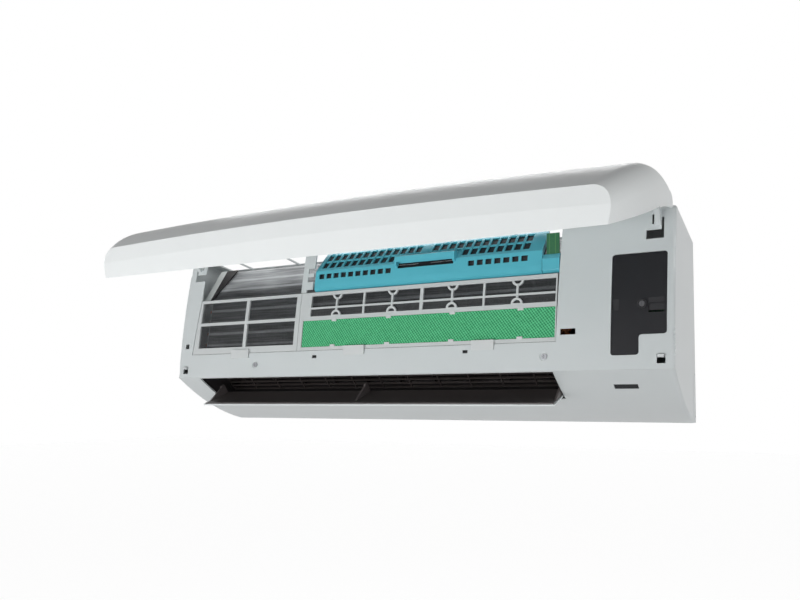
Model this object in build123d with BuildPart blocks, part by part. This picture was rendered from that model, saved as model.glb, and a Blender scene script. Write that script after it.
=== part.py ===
"""Indoor half of a split air conditioner, wall hung, with its front panel swung open.

Millimetres, +Z up. The room is towards -Y and the wall is the plane Y = 0. The origin is
the middle of the four wall screws on the back of the mounting plate.
Sections are drawn in (depth, height): depth runs from the lower front band towards the
wall, height from the underside of the unit.
"""
from build123d import *
from math import cos, hypot, radians, sin, tan
import os

os.makedirs("parts", exist_ok=True)

# ---------------------------------------------------------------- driving dimensions
unit_width = 814.0        # casing and panel, end to end
unit_height = 285.0       # underside to the top front corner
unit_depth = 192.0        # lower front band to the wall
screw_height = 150.0      # underside to the middle of the wall screws
casing_wall = 2.5
casing_back_gap = 3.0     # back edge of the casing to the wall
band_height = 71.0        # corner between the front face and the chin
face_lean = 37.0          # how far the front face leans back at its top
face_belly = 13.7         # how far it has leaned at half height
top_drop = 21.0           # the top falls towards the wall
chin_depth = 168.0        # where the chin meets the underside
chin_pull = (81.0, 16.0)  # control point of the chin curve
edge_round = 4.0          # outer edges of the casing
top_round = 8.0           # front edge of the casing's top
fit = 0.3                 # gap between a piece and its seat
slack = 0.6               # gap round a piece that is lifted out
half = unit_width / 2     # middle of the unit to each end

# ---------------------------------------------------------------- openings of the casing
window_left = 28.0 - half
window_left_top = 36.0 - half
window_right = half - 150.0
window_bottom = 110.0
window_top = 273.5
bar_top = 204.0           # top of both filter frames
post_left = -163.0
post_right = -153.0
bracket = 11.0            # width of the bracket beside the cassette, right of the post
outlet_left = 48.0 - half
outlet_right = half - 154.0
outlet_top = (2.0, 69.6)      # upper edge of the outlet, on the chin
outlet_bottom = (62.0, 35.0)  # lower edge of the outlet, on the chin
cover_left = half - 78.0
cover_right = half - 10.0
cover_bottom = 90.0
cover_top = 222.0
cover_step = half - 44.0  # right edge of the narrow foot of the cover
cover_step_height = 116.0
corner = 4.0

# ---------------------------------------------------------------- filters
frame_thick = 4.0
frame_inset = 1.0         # behind the casing's face
rail = 6.0                # bottom rail of a filter frame
bar = 5.0
thin_bar = 3.0
column_pitch = (window_right - post_left - 28.0) / 8
lug_radius = 8.5
lug_ring = 3.0
strip_bottom = 116.0
strip_top = 158.5
strip_thick = 6.0
row_low = 165.0
row_mid = 178.0
tab_drop = 8.0            # finger tabs hang this far below the window
tab_thick = 1.6

# ---------------------------------------------------------------- air cleaner cassette
cassette_left = post_right + bracket + 2.5
cassette_right = window_right - 24.0
cassette_wall = 2.0
cassette_depth = 15.0
cleaner_pitch = 13.3
handle_left = cassette_left + 144.5
handle_right = handle_left + 98.0

# ---------------------------------------------------------------- fan, duct and coil
fan_centre = (106.0, 145.0)
fan_radius = 44.0
fan_left = 53.0 - half
fan_right = half - 159.0
fan_blades = 31
fan_rings = 5
shaft_radius = 4.0
shaft_run = 0.05          # running clearance of a shaft
duct_left = 46.5 - half   # inner face of the left duct wall
duct_right = half - 152.5
duct_wall = 3.5
sheet = 3.0               # moulded walls of the chassis
back_depth = unit_depth - 9.0   # back face of the chassis
coil_left = 47.0 - half
coil_right = half - 154.0
coil_thick = 26.0
rear_coil_thick = 22.0
tube_radius = 3.5
tube_fit = 0.1
tube_rows = 13.0          # front row to back row
tube_pitch = 20.0

# ---------------------------------------------------------------- vane and louvres
vane_pivot = (57.5, 56.0)
vane_open = 48.1          # degrees from closed to the pose shown
vane_thick = 2.4
vane_gap = 1.0            # at each end of the vane
vane_sweep = 22.3         # clear of the vane's rear edge as it turns
vane_pin = 2.5
pin_run = 0.06
louvre_centre = (85.5, 84.5)
louvre_count = 10
louvre_pitch = (outlet_right - outlet_left - 2.0) / louvre_count
louvre_length = 24.0
louvre_height = 34.0
louvre_thick = 1.6
louvre_pin = 1.8

# ---------------------------------------------------------------- panel
hinge = (12.0, 281.0)     # pivot of the panel, in front of the casing's top
panel_open = 68.4         # degrees from closed to the pose shown
panel_wall = 2.6
panel_narrow = half - 37.0      # half width at the free edge
panel_crown = 11000.0     # plan radius of the panel's face
panel_pin = 2.5
hinge_lug = half - 24.0   # inner face of the hinge lug, from the middle
hinge_lug_thick = 6.0

# ---------------------------------------------------------------- mounting plate
plate_thick = 1.2
plate_width = unit_width - 194.0
plate_bottom = 48.0
plate_top = 246.0
wall_screw_x = 460.0
wall_screw_z = 120.0
wall_screw_hole = 2.75    # radius

front_y = -unit_depth
bottom_z = -screw_height
back_edge = unit_depth - casing_back_gap
top_back = unit_height - top_drop
X, Y, Z = Vector(1, 0, 0), Vector(0, 1, 0), Vector(0, 0, 1)


def at_side(x):
    """Section plane: local x is depth, local y is height, extrusion runs to +X."""
    return Plane(origin=(x, front_y, bottom_z), x_dir=Y, z_dir=X)


def at_front(depth):
    """Front view plane: local x is X, local y is height, extrusion runs to the room."""
    return Plane(origin=(0, front_y + depth, bottom_z), x_dir=X, z_dir=-Y)


def at_top(height):
    """Plan plane: local x is X, local y is depth, extrusion runs up."""
    return Plane(origin=(0, front_y, bottom_z + height), x_dir=X, z_dir=Z)


def spot(x, depth, height):
    """A point given by X, depth and height."""
    return (x, front_y + depth, bottom_z + height)


def along(start, end):
    """Unit vector from one section point to another."""
    length = hypot(end[0] - start[0], end[1] - start[1])
    return ((end[0] - start[0]) / length, (end[1] - start[1]) / length)


def shift(point, way, distance):
    """A section point moved along a unit vector."""
    return (point[0] + way[0] * distance, point[1] + way[1] * distance)


def turned(point, centre, angle):
    """A section point turned about a centre, degrees, from depth towards height."""
    a = radians(angle)
    u, v = point[0] - centre[0], point[1] - centre[1]
    return (centre[0] + u * cos(a) - v * sin(a), centre[1] + u * sin(a) + v * cos(a))


def meet(first, first_way, second, second_way):
    """Where two lines of a section cross."""
    across = first_way[0] * second_way[1] - first_way[1] * second_way[0]
    u, v = second[0] - first[0], second[1] - first[1]
    return shift(first, first_way, (u * second_way[1] - v * second_way[0]) / across)


def finish(piece, name):
    """Label a finished sub-part and write it."""
    piece.part.label = name
    export_step(piece.part, f"parts/{name}.step")


def face_arc(inset, low, high):
    """Points of the leaning front face, moved towards the wall by an inset."""
    def depth(height):
        t = (height - band_height) / (unit_height - band_height)
        return inset + face_lean * t + 4 * (face_belly - face_lean / 2) * t * (1 - t)
    return ((depth(low), low), (depth((low + high) / 2), (low + high) / 2), (depth(high), high))


def face_strip(inset, thick, low, high):
    """Closed section of a plate that follows the leaning front face."""
    outer = face_arc(inset, low, high)
    inner = face_arc(inset + thick, low, high)
    with BuildLine() as lines:
        ThreePointArc(*outer)
        Line(outer[2], inner[2])
        ThreePointArc(*inner)
        Line(inner[0], outer[0])
    return lines


def bent_path(points, radius):
    """A path through points with rounded corners."""
    with BuildLine() as lines:
        start = Vector(*points[0])
        for before, here, after in zip(points, points[1:], points[2:]):
            into = (Vector(*here) - Vector(*before)).normalized()
            out = (Vector(*after) - Vector(*here)).normalized()
            turn = radians(into.get_angle(out)) / 2
            first = Vector(*here) - into * (radius * tan(turn))
            last = Vector(*here) + out * (radius * tan(turn))
            middle = Vector(*here) + (out - into).normalized() * (radius / cos(turn) - radius)
            Line(start, first)
            ThreePointArc(first, middle, last)
            start = last
        Line(start, Vector(*points[-1]))
    return lines.wires()[0]


def tube(points, radius, bend):
    """A round tube along a path with rounded corners."""
    path = bent_path(points, bend)
    with BuildSketch(Plane(origin=path.position_at(0), z_dir=path.tangent_at(0))) as ring:
        Circle(radius)
    sweep(ring.sketch, path=path)


def disc(x, centre, radius, length, mode=Mode.ADD):
    """A cylinder along X from a section point."""
    with BuildSketch(at_side(x)) as circle:
        with Locations(centre):
            Circle(radius)
    extrude(circle.sketch, amount=length, mode=mode)


def boxes(plane, rectangles, amount, mode=Mode.SUBTRACT):
    """Cut or add rectangles (left, low, right, high) from a plane."""
    with BuildSketch(plane) as outlines:
        for left, low, right, high in rectangles:
            with Locations(((left + right) / 2, (low + high) / 2)):
                Rectangle(right - left, high - low)
    extrude(outlines.sketch, amount=amount, mode=mode)


# ---------------------------------------------------------------- front casing
band_corner = (0, band_height)
top_front = (face_lean, unit_height)
top_edge = (back_edge, top_back)
chin_end = (chin_depth, 0)
top_way = along(top_front, top_edge)
top_out = (-top_way[1], top_way[0])
chin_way, band_way = along(chin_end, chin_pull), along(chin_pull, band_corner)
chin_in, band_in = (chin_way[1], -chin_way[0]), (band_way[1], -band_way[0])
mouth_way = along(outlet_top, outlet_bottom)
mouth_in = (-mouth_way[1], mouth_way[0])
cut_depth = 14.0

display_left, display_right = half - 81.0, half - 50.0
display_low, display_high = (39.5, 47.0), (29.0, 53.4)
latch_left, latch_right, latch_low, latch_high = half - 23.0, half - 9.5, 77.0, 98.0
latch_seat = 4.9
screw_x, screw_h = half - 165.5, 90.5
screw_seat = 6.0
bolt_radius = 4.0
band_slots = [(half - 144.5, 119, half - 124, 127), (-131, 98.2, -123, 102.8), (123, 98.2, 131, 102.8),
              (12 - half, 121, 20 - half, 129)]
hinge_cuts = [(half - 36.5, 240, half - 14.5, 252), (half - 17.5, 251, half - 14.5, 268),
              (half - 29.5, 260, half - 27, 273)]

with BuildPart() as front_casing:
    with BuildSketch(at_side(-half)) as casing_section:
        with BuildLine():
            ThreePointArc(*face_arc(0, band_height, unit_height))
            Line(top_front, top_edge)
            Line(top_edge, (back_edge, 0))
            Line((back_edge, 0), chin_end)
            Bezier(chin_end, chin_pull, band_corner)
        make_face()
        fillet(casing_section.vertices().sort_by_distance(top_front)[0], top_round)
    extrude(amount=unit_width)
    ends = front_casing.faces().filter_by(Axis.X).edges()
    rim = [e for e in ends if e.center().Y < front_y + back_edge - 1 and e.center().Z > bottom_z + 1]
    fillet(rim, edge_round)
    with BuildSketch(at_side(-half + casing_wall)):
        inner_top = meet(shift(top_front, top_out, -casing_wall), top_way, (back_edge, 0), (0, 1))
        inner_low = shift(chin_end, chin_in, casing_wall)
        inner_band = meet(shift(band_corner, band_in, casing_wall), band_way, (casing_wall, 0), (0, 1))
        inner_pull = meet(inner_low, chin_way, inner_band, band_way)
        inner_face = face_arc(casing_wall, inner_band[1], unit_height - top_round - casing_wall)
        face_top = meet(inner_face[2], along(inner_face[1], inner_face[2]), inner_top, top_way)
        inner_back = shift(inner_top, top_way, casing_back_gap)
        with BuildLine():
            ThreePointArc(*inner_face)
            Polyline(inner_face[2], shift(face_top, top_way, top_round - casing_wall), inner_back,
                     (inner_back[0], inner_low[1]), inner_low)
            Bezier(inner_low, inner_pull, inner_band)
            Line(inner_band, inner_face[0])
        make_face()
    extrude(amount=unit_width - 2 * casing_wall, mode=Mode.SUBTRACT)

    # windows to the filters, either side of the post
    with BuildSketch(at_front(-20)):
        Polygon((window_left, window_bottom), (post_left, window_bottom), (post_left, window_top),
                (window_left_top, window_top), (window_left_top, bar_top), align=None)
        Polygon((post_right, window_bottom), (window_right, window_bottom),
                (window_right + 3, window_top), (post_right, window_top), align=None)
        boxes_kept = [(post_right, 209, post_right + bracket, 222), (post_right, 230, post_right + bracket, 236),
                      (post_right, 244, post_right + bracket, window_top)]
        for left, low, right, high in boxes_kept:
            with Locations(((left + right) / 2, (low + high) / 2)):
                Rectangle(right - left, high - low, mode=Mode.SUBTRACT)
    extrude(amount=-80, mode=Mode.SUBTRACT)
    # the post stands back where the frames pass in front of it
    with BuildSketch(at_side(post_left - 1)):
        post_cut = frame_inset + frame_thick + fit
        with BuildLine():
            low, mid, high = face_arc(post_cut, window_bottom, bar_top + slack)
            ThreePointArc(low, mid, high)
            Polyline(high, (-20, high[1]), (-20, low[1]), low)
        make_face()
    extrude(amount=post_right - post_left + 2, mode=Mode.SUBTRACT)

    # outlet mouth in the chin
    with BuildSketch(at_side(outlet_left)):
        Polygon(shift(outlet_top, mouth_in, -6), shift(outlet_bottom, mouth_in, -6),
                shift(outlet_bottom, mouth_in, cut_depth), shift(outlet_top, mouth_in, cut_depth),
                align=None)
    extrude(amount=outlet_right - outlet_left, mode=Mode.SUBTRACT)

    # L-shaped opening to the controls
    with BuildSketch(at_front(-20)) as control_opening:
        Polygon((cover_left - slack, cover_bottom - slack), (cover_step + slack, cover_bottom - slack),
                (cover_step + slack, cover_step_height - slack),
                (cover_right + slack, cover_step_height - slack),
                (cover_right + slack, cover_top + slack), (cover_left - slack, cover_top + slack),
                align=None)
        fillet(control_opening.vertices(), corner)
    extrude(amount=-60, mode=Mode.SUBTRACT)

    # slots of the latches, hinges and clips, the same at both ends
    boxes(at_front(-5), band_slots, -25)
    for side in (1, -1):
        ends = [(min(side * a, side * c), b, max(side * a, side * c), d) for a, b, c, d in
                hinge_cuts + [(latch_left + 1.5, latch_low + 1, latch_right - 1.5, latch_high - 8)]]
        boxes(at_front(-5), ends, -50)
    # display window on the chin
    with BuildSketch(at_side(display_left)):
        window_way = along(display_high, display_low)
        window_in = (-window_way[1], window_way[0])
        Polygon(shift(display_high, window_in, -6), shift(display_low, window_in, -6),
                shift(display_low, window_in, 8), shift(display_high, window_in, 8), align=None)
    extrude(amount=display_right - display_left, mode=Mode.SUBTRACT)

    # screw bosses in the band
    for x in (-screw_x, screw_x):
        with BuildSketch(at_front(4.6)):
            with Locations((x, screw_h)):
                Circle(screw_seat + 1.5)
        extrude(amount=2.4)
        with BuildSketch(at_front(-2)):
            with Locations((x, screw_h)):
                Circle(screw_seat)
        extrude(amount=-4.6, mode=Mode.SUBTRACT)
        with BuildSketch(at_front(-2)):
            with Locations((x, screw_h)):
                Circle(2.2)
        extrude(amount=-14, mode=Mode.SUBTRACT)

    # air inlet in the top: wide openings between thin ribs
    inlet_columns, inlet_rows = 6, 2
    inlet_pitch, row_pitch, inlet_rib = 103.0, 61.0, 3.0
    inlet_left = 22.0 - half
    first_rib = 68.0 - half
    with BuildSketch(at_top(unit_height + 5)):
        with Locations((first_rib + inlet_columns * inlet_pitch / 2, 120)):
            with GridLocations(inlet_pitch, row_pitch, inlet_columns, inlet_rows):
                Rectangle(inlet_pitch - inlet_rib, row_pitch - inlet_rib)
        with Locations(((inlet_left + first_rib - inlet_rib / 2) / 2, 120)):
            with GridLocations(0, row_pitch, 1, inlet_rows):
                Rectangle(first_rib - inlet_rib / 2 - inlet_left, row_pitch - inlet_rib)
    extrude(amount=-40, mode=Mode.SUBTRACT)

    # lugs that carry the panel's pins
    for x in (hinge_lug, -hinge_lug - hinge_lug_thick):
        with BuildSketch(at_side(x)):
            boss = 5.5
            with Locations(hinge):
                Circle(boss)
            foot_low, _, foot_high = face_arc(casing_wall / 2, 256, 274)
            Polygon(foot_low, foot_high, (hinge[0], hinge[1] + boss), (hinge[0] - boss, hinge[1]),
                    (hinge[0] - 3, hinge[1] - boss + 1), align=None)
        extrude(amount=hinge_lug_thick)
        with BuildSketch(at_side(x - 1)):
            with Locations(hinge):
                Circle(panel_pin + pin_run)
        extrude(amount=hinge_lug_thick + 2, mode=Mode.SUBTRACT)

    # the lip under the outlet clears the vane's rear edge as it turns
    disc(outlet_left, vane_pivot, vane_sweep, outlet_right - outlet_left, Mode.SUBTRACT)

    # grip ridges on the right edge and the pipe knock-out behind them
    ridge_low, ridge_count, ridge_pitch = 88.0, 6, 6.0
    for i in range(ridge_count):
        height = ridge_low + i * ridge_pitch
        boxes(at_side(half - 0.5), [(4, height, 10, height + 2.5)], 1.1, Mode.ADD)
    knock = (166.0, 8.0, 186.0, 70.0)
    with BuildSketch(at_side(half - 0.8)):
        with Locations(((knock[0] + knock[2]) / 2, (knock[1] + knock[3]) / 2)):
            Rectangle(knock[2] - knock[0], knock[3] - knock[1])
            Rectangle(knock[2] - knock[0] - 3, knock[3] - knock[1] - 3, mode=Mode.SUBTRACT)
    extrude(amount=2, mode=Mode.SUBTRACT)
finish(front_casing, "front_casing")

# screws that hold the casing to the chassis
with BuildPart() as casing_screws:
    for x in (-screw_x, screw_x):
        with BuildSketch(at_front(2.6 - fit)):
            with Locations((x, screw_h)):
                Circle(bolt_radius)
        extrude(amount=1.6)
        with BuildSketch(at_front(2.6 - fit)):
            with Locations((x, screw_h)):
                Circle(1.9)
        extrude(amount=-12)
        with BuildSketch(at_front(0)):
            with Locations((x, screw_h)):
                Rectangle(4.4, 1.0)
                Rectangle(1.0, 4.4)
        extrude(amount=-1.6, mode=Mode.SUBTRACT)
finish(casing_screws, "casing_screws")

# spring latches that catch the panel's lower corners
with BuildPart() as panel_latches:
    for side in (1, -1):
        centre = side * (latch_left + latch_right) / 2
        tongue = 8.0
        boxes(at_front(latch_seat), [(centre - tongue / 2, latch_low + 8.5, centre + tongue / 2,
                                      latch_low + 12.5)], latch_seat + 2.5, Mode.ADD)
        boxes(at_front(latch_seat), [(centre - tongue / 2 - 1, latch_low + 8.5, centre + tongue / 2 + 1,
                                      latch_low + 20)], -3, Mode.ADD)
finish(panel_latches, "panel_latches")

# ---------------------------------------------------------------- filter frames
def frame_plate(left, left_top, right):
    """The plate of a filter frame, following the casing's face, with a slanted left edge."""
    low, high = window_bottom + slack, bar_top
    with BuildSketch(at_side(left)) as section:
        add(face_strip(frame_inset, frame_thick, low, high).line)
        make_face()
    extrude(section.sketch, amount=right - left)
    if left_top != left:
        with BuildSketch(at_front(-10)) as slant:
            Polygon((left - 1, low - 1), (left, low), (left_top, high), (left_top, high + 1),
                    (left - 1, high + 1), align=None)
        extrude(slant.sketch, amount=-60, mode=Mode.SUBTRACT)


def finger_tab(left, right):
    """A tab that steps over the window's lower edge, in front of the band."""
    seat = face_arc(0, window_bottom - tab_drop, unit_height)[0][0] - fit
    boxes(at_front(seat), [(left, window_bottom - tab_drop, right, window_bottom + rail)], tab_thick,
          Mode.ADD)
    boxes(at_front(seat), [(left, window_bottom + slack, right, window_bottom + rail)], -3.2, Mode.ADD)


left_frame_right = post_left + 1.0
with BuildPart() as left_filter_frame:
    frame_plate(window_left + slack, window_left_top + slack, left_frame_right)
    cells = []
    for low, high in ((window_bottom + rail + bar, 159.5), (164.5, bar_top - bar)):
        cells += [(window_left + 12, low, window_left + 107, high),
                  (window_left + 113, low, left_frame_right - 8, high)]
    boxes(at_front(-10), cells, -60)
    finger_tab(window_left + 87, window_left + 123)
finish(left_filter_frame, "left_filter_frame")

right_frame_left = left_frame_right + slack
right_frame_right = window_right - slack
column_middle = (post_left + window_right) / 2 + 6
columns = [column_middle + (k - 4) * column_pitch for k in range(9)]
lug_columns = [columns[k] for k in (1, 3, 5, 7)]
with BuildPart() as right_filter_frame:
    frame_plate(right_frame_left, right_frame_left, right_frame_right)
    cells = []
    for k in range(8):
        left = columns[k] + (bar / 2 if k == 4 else thin_bar / 2)
        right = columns[k + 1] - (bar / 2 if k == 3 else thin_bar / 2)
        if k == 7:
            right = right_frame_right - 2
        cells += [(left, row_low, right, row_mid - thin_bar / 2),
                  (left, row_mid + thin_bar / 2, right, bar_top - bar - 1)]
    boxes(at_front(-10), cells, -60)
    # ring lugs above and below the cells, with half-moon holes
    for x in lug_columns:
        for height, way in ((bar_top - bar, -1), (row_low, 1)):
            depth = face_arc(frame_inset, height - 4, height + 4)[1][0]
            with BuildSketch(at_front(depth)):
                with Locations((x, height)):
                    Circle(lug_radius)
                with Locations((x, height - way * lug_radius)):
                    Rectangle(2 * lug_radius + 2, 2 * lug_radius, mode=Mode.SUBTRACT)
            extrude(amount=-frame_thick)
            with BuildSketch(at_front(-10)):
                with Locations((x, height)):
                    Circle(lug_radius - lug_ring)
                with Locations((x, height - way * (lug_radius - 0.8))):
                    Rectangle(2 * lug_radius + 2, 2 * lug_radius, mode=Mode.SUBTRACT)
            extrude(amount=-60, mode=Mode.SUBTRACT)
    # pocket of the green strip, open to the front between its clips
    pocket = (right_frame_left + 7, strip_bottom, right_frame_right - 1.5, strip_top)
    boxes(at_front(-10), [pocket], -60)
    for x in (-96, 0, 104, window_right - 51):
        for low, high in ((strip_bottom - 2, strip_bottom + 3), (strip_top - 3, strip_top + 2)):
            depth = face_arc(frame_inset, low, high)[1][0]
            boxes(at_front(depth + 1.2), [(x - 4, low, x + 4, high)], 1.6, Mode.ADD)
    finger_tab(-73, -37)
    finger_tab(137, 170)
finish(right_filter_frame, "right_filter_frame")

with BuildPart() as green_filter:
    with BuildSketch(at_side(pocket[0] + fit)):
        strip = face_strip(frame_inset + 1.6, strip_thick, strip_bottom + fit, strip_top - fit)
        add(strip.line)
        make_face()
    extrude(amount=pocket[2] - pocket[0] - 2 * fit)
finish(green_filter, "green_filter")

# ---------------------------------------------------------------- air cleaner cassette
# profile of the cover's outside, from the lower band up over the slanted face
cover_points = [(25.0, 205.5), (21.5, 209.0), (22.5, 218.0), (26.5, 239.0), (61.0, 272.0)]
slope_way = along(cover_points[3], cover_points[4])
slope_in = (slope_way[1], -slope_way[0])
cassette_foot = 8.5        # depth of the cassette at its lower edge
split_points = [shift(cover_points[4], slope_in, cassette_depth / 2),
                shift(cover_points[3], slope_in, cassette_depth / 2),
                (cover_points[0][0] + cassette_foot / 2, cover_points[0][1])]
back_points = [shift(cover_points[4], slope_in, cassette_depth),
               shift(cover_points[3], slope_in, cassette_depth),
               (cover_points[0][0] + cassette_foot, cover_points[0][1])]
hole_count = 14
holes_left, holes_right = cassette_left + 8.0, cassette_right - 21.0
socket_width = 24.0

with BuildPart() as purifier_cover:
    with BuildSketch(at_side(cassette_left)) as cover_section:
        Polygon(*cover_points, *split_points, align=None)
    extrude(amount=cassette_right - cassette_left)
    with BuildSketch(at_side(cassette_left + cassette_wall)):
        outer = cover_points
        wall_in = [shift(outer[k], slope_in if k > 2 else (1, 0), cassette_wall) for k in range(5)]
        Polygon((wall_in[0][0], outer[0][1] + cassette_wall), wall_in[1], wall_in[2],
                (outer[3][0] + cassette_wall, outer[3][1] - 0.8),
                shift(wall_in[4], slope_way, -cassette_wall),
                shift(shift(outer[4], slope_in, cassette_depth), slope_way, -cassette_wall),
                shift(outer[3], slope_in, cassette_depth + 4),
                (outer[0][0] + 2 * cassette_foot, outer[0][1] + cassette_wall), align=None)
    extrude(amount=cassette_right - cassette_left - 2 * cassette_wall, mode=Mode.SUBTRACT)
    # two rows of large holes on the slope and a row of small ones below
    for start, tall, skip in ((6.5, 17.5, True), (27.0, 17.5, False)):
        origin = shift(cover_points[3], slope_way, start + tall / 2)
        slope = Plane(origin=spot(0, *origin), x_dir=X, z_dir=Y * -slope_in[0] + Z * -slope_in[1])
        with BuildSketch(slope.offset(3)):
            for side in (-1, 1):
                for k in range(hole_count):
                    x = (cassette_left + cassette_right) / 2 + side * (8 + cleaner_pitch * (k + 0.5))
                    inside = holes_left < x < holes_right
                    if inside and not (skip and handle_left - 8 < x < handle_right + 8):
                        with Locations((x, 0)):
                            Rectangle(cleaner_pitch - 3.5, tall)
                    elif inside and skip:
                        with Locations((x, tall / 2 - 2)):
                            Rectangle(cleaner_pitch - 3.5, 3.5)
        extrude(amount=-8, mode=Mode.SUBTRACT)
    small = []
    for side in (-1, 1):
        for k in range(hole_count):
            x = (cassette_left + cassette_right) / 2 + side * (8 + cleaner_pitch * (k + 0.5))
            if holes_left < x < holes_right and not handle_left - 12 < x < handle_right + 12:
                small.append((x - 4.7, 225.5, x + 4.7, 233.5))
    boxes(at_front(0), small, -29)
    # grip with a finger slot under it
    with BuildSketch(at_side(handle_left)):
        Polygon((27.0, 233.0), (21.0, 236.0), (22.0, 249.0), (31.0, 252.0), (36.0, 248.0), align=None)
    extrude(amount=handle_right - handle_left)
    with BuildSketch(at_side(handle_left + 3)):
        Polygon((18.0, 231.5), (18.0, 240.0), (31.0, 243.0), (31.0, 231.5), align=None)
    extrude(amount=handle_right - handle_left - 6, mode=Mode.SUBTRACT)
finish(purifier_cover, "purifier_cover")

with BuildPart() as purifier_case:
    with BuildSketch(at_side(cassette_left + cassette_wall + fit)):
        case_front = [shift(split_points[0], slope_in, fit), shift(split_points[1], slope_in, fit),
                      (split_points[2][0] + fit, split_points[2][1])]
        Polygon(*case_front[::-1], *back_points, align=None)
    extrude(amount=cassette_right - cassette_left - 2 * cassette_wall - 2 * fit)
    boxes(Plane(origin=spot(0, *back_points[1]), x_dir=X, z_dir=Y * slope_in[0] + Z * slope_in[1]),
          [(cassette_left + 12, -44, 38, -6), (52, -44, cassette_right - 12, -6)], -30)
finish(purifier_case, "purifier_case")

# charged plates between case and cover, seen as the dark ground behind the holes
with BuildPart() as purifier_plates:
    for level in (0.5, 4.0):
        origin = shift(shift(cover_points[3], slope_in, cassette_wall + level), slope_way, 5)
        ground = Plane(origin=spot(0, *origin), x_dir=X, z_dir=Y * slope_in[0] + Z * slope_in[1])
        with BuildSketch(ground):
            with Locations(((cassette_left + cassette_right) / 2, -20)):
                Rectangle(cassette_right - cassette_left - 2 * cassette_wall - 8, 37)
        extrude(amount=1.0)
finish(purifier_plates, "purifier_plates")

with BuildPart() as purifier_socket:
    left = cassette_right + slack
    with BuildSketch(at_side(left)):
        Polygon((26, 206), (22, 210), (23, 226), (30, 233), (42, 233), (42, 222), (34, 212),
                (34, 206), align=None)
    extrude(amount=socket_width)
    fillet(purifier_socket.edges().filter_by(Axis.X), 1.2)
finish(purifier_socket, "purifier_socket")

# small board that stands on the socket
with BuildPart() as socket_board:
    with BuildSketch(at_side(left + 4)):
        Polygon((31, 233 + fit / 3), (31, 262), (33, 262), (33, 233 + fit / 3), align=None)
    extrude(amount=socket_width - 6)
finish(socket_board, "socket_board")

# ---------------------------------------------------------------- heat exchanger
lower_foot, lower_head = (16.0, 100.0), (37.0, 206.5)
lower_way = along(lower_foot, lower_head)
lower_in = (lower_way[1], -lower_way[0])
upper_foot, upper_head = (38.5, 208.5), (80.0, 262.0)
upper_way = along(upper_foot, upper_head)
upper_in = (upper_way[1], -upper_way[0])
rear_foot, rear_head = (163.3, 205.6), (127.3, 251.6)
rear_way = along(rear_foot, rear_head)
rear_in = (-rear_way[1], rear_way[0])
slabs = {
    "evaporator_lower": [lower_foot, lower_head, shift(shift(lower_head, lower_in, coil_thick),
                         lower_way, -19), shift(lower_foot, lower_in, coil_thick)],
    "evaporator_upper": [upper_foot, upper_head, shift(upper_head, upper_in, coil_thick),
                         shift(shift(upper_foot, upper_in, coil_thick), upper_way, 7)],
    "evaporator_rear": [rear_foot, rear_head, shift(rear_head, rear_in, rear_coil_thick),
                        shift(rear_foot, rear_in, rear_coil_thick)],
}
tube_spots = []
for foot, way, into, thick, count, start in (
        (lower_foot, lower_way, lower_in, coil_thick, 5, 10.0),
        (upper_foot, upper_way, upper_in, coil_thick, 3, 15.0),
        (rear_foot, rear_way, rear_in, rear_coil_thick, 3, 9.0)):
    for k in range(count):
        middle = shift(shift(foot, way, start + k * tube_pitch), into, thick / 2)
        tube_spots.append((shift(middle, into, -tube_rows / 2), shift(middle, into, tube_rows / 2)))

for name, outline in slabs.items():
    with BuildPart() as slab:
        with BuildSketch(at_side(coil_left)):
            Polygon(*outline, align=None)
            with Locations(*[p for pair in tube_spots for p in pair]):
                Circle(tube_radius + tube_fit, mode=Mode.SUBTRACT)
        extrude(amount=coil_right - coil_left)
    finish(slab, name)

# galvanised end plates over all three slabs
for name, x in (("end_plate_left", coil_left - 1.5), ("end_plate_right", coil_right + 0.3)):
    with BuildPart() as end_plate:
        with BuildSketch(at_side(x)):
            Polygon(*slabs["evaporator_lower"], align=None)
            Polygon(*slabs["evaporator_upper"], align=None)
            Polygon(*slabs["evaporator_rear"], align=None)
            Polygon(lower_head, upper_foot, slabs["evaporator_upper"][3],
                    slabs["evaporator_lower"][2], align=None)
            Polygon(upper_head, rear_head, slabs["evaporator_rear"][2],
                    slabs["evaporator_upper"][2], align=None)
            with Locations(*[p for pair in tube_spots for p in pair]):
                Circle(tube_radius + tube_fit, mode=Mode.SUBTRACT)
        extrude(amount=1.2)
    finish(end_plate, name)

# copper hairpins: two legs and a bend at the left end
tube_end = coil_right + 4.0
bend_start = coil_left - 3.0
with BuildPart() as hairpin_tubes:
    for front, rear in tube_spots:
        middle = ((front[0] + rear[0]) / 2, (front[1] + rear[1]) / 2)
        with BuildLine() as route:
            Line(spot(tube_end, *front), spot(bend_start, *front))
            ThreePointArc(spot(bend_start, *front), spot(bend_start - tube_rows / 2, *middle),
                          spot(bend_start, *rear))
            Line(spot(bend_start, *rear), spot(tube_end, *rear))
        with BuildSketch(Plane(origin=spot(tube_end, *front), x_dir=Y, z_dir=-X)):
            Circle(tube_radius)
        sweep(path=route.wires()[0])
finish(hairpin_tubes, "hairpin_tubes")

# return bends that link one hairpin to the next at the right end
with BuildPart() as return_bends:
    for bank in (tube_spots[:5], tube_spots[5:8], tube_spots[8:]):
        for k in range(len(bank) - 1):
            low, high = bank[k][k % 2], bank[k + 1][k % 2]
            middle = ((low[0] + high[0]) / 2, (low[1] + high[1]) / 2)
            reach = hypot(high[0] - low[0], high[1] - low[1]) / 2
            with BuildLine() as route:
                ThreePointArc(spot(tube_end + 0.1, *low), spot(tube_end + reach, *middle),
                              spot(tube_end + 0.1, *high))
            with BuildSketch(Plane(origin=spot(tube_end + 0.1, *low), x_dir=Y, z_dir=X)):
                Circle(tube_radius)
            sweep(path=route.wires()[0])
finish(return_bends, "return_bends")

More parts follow.
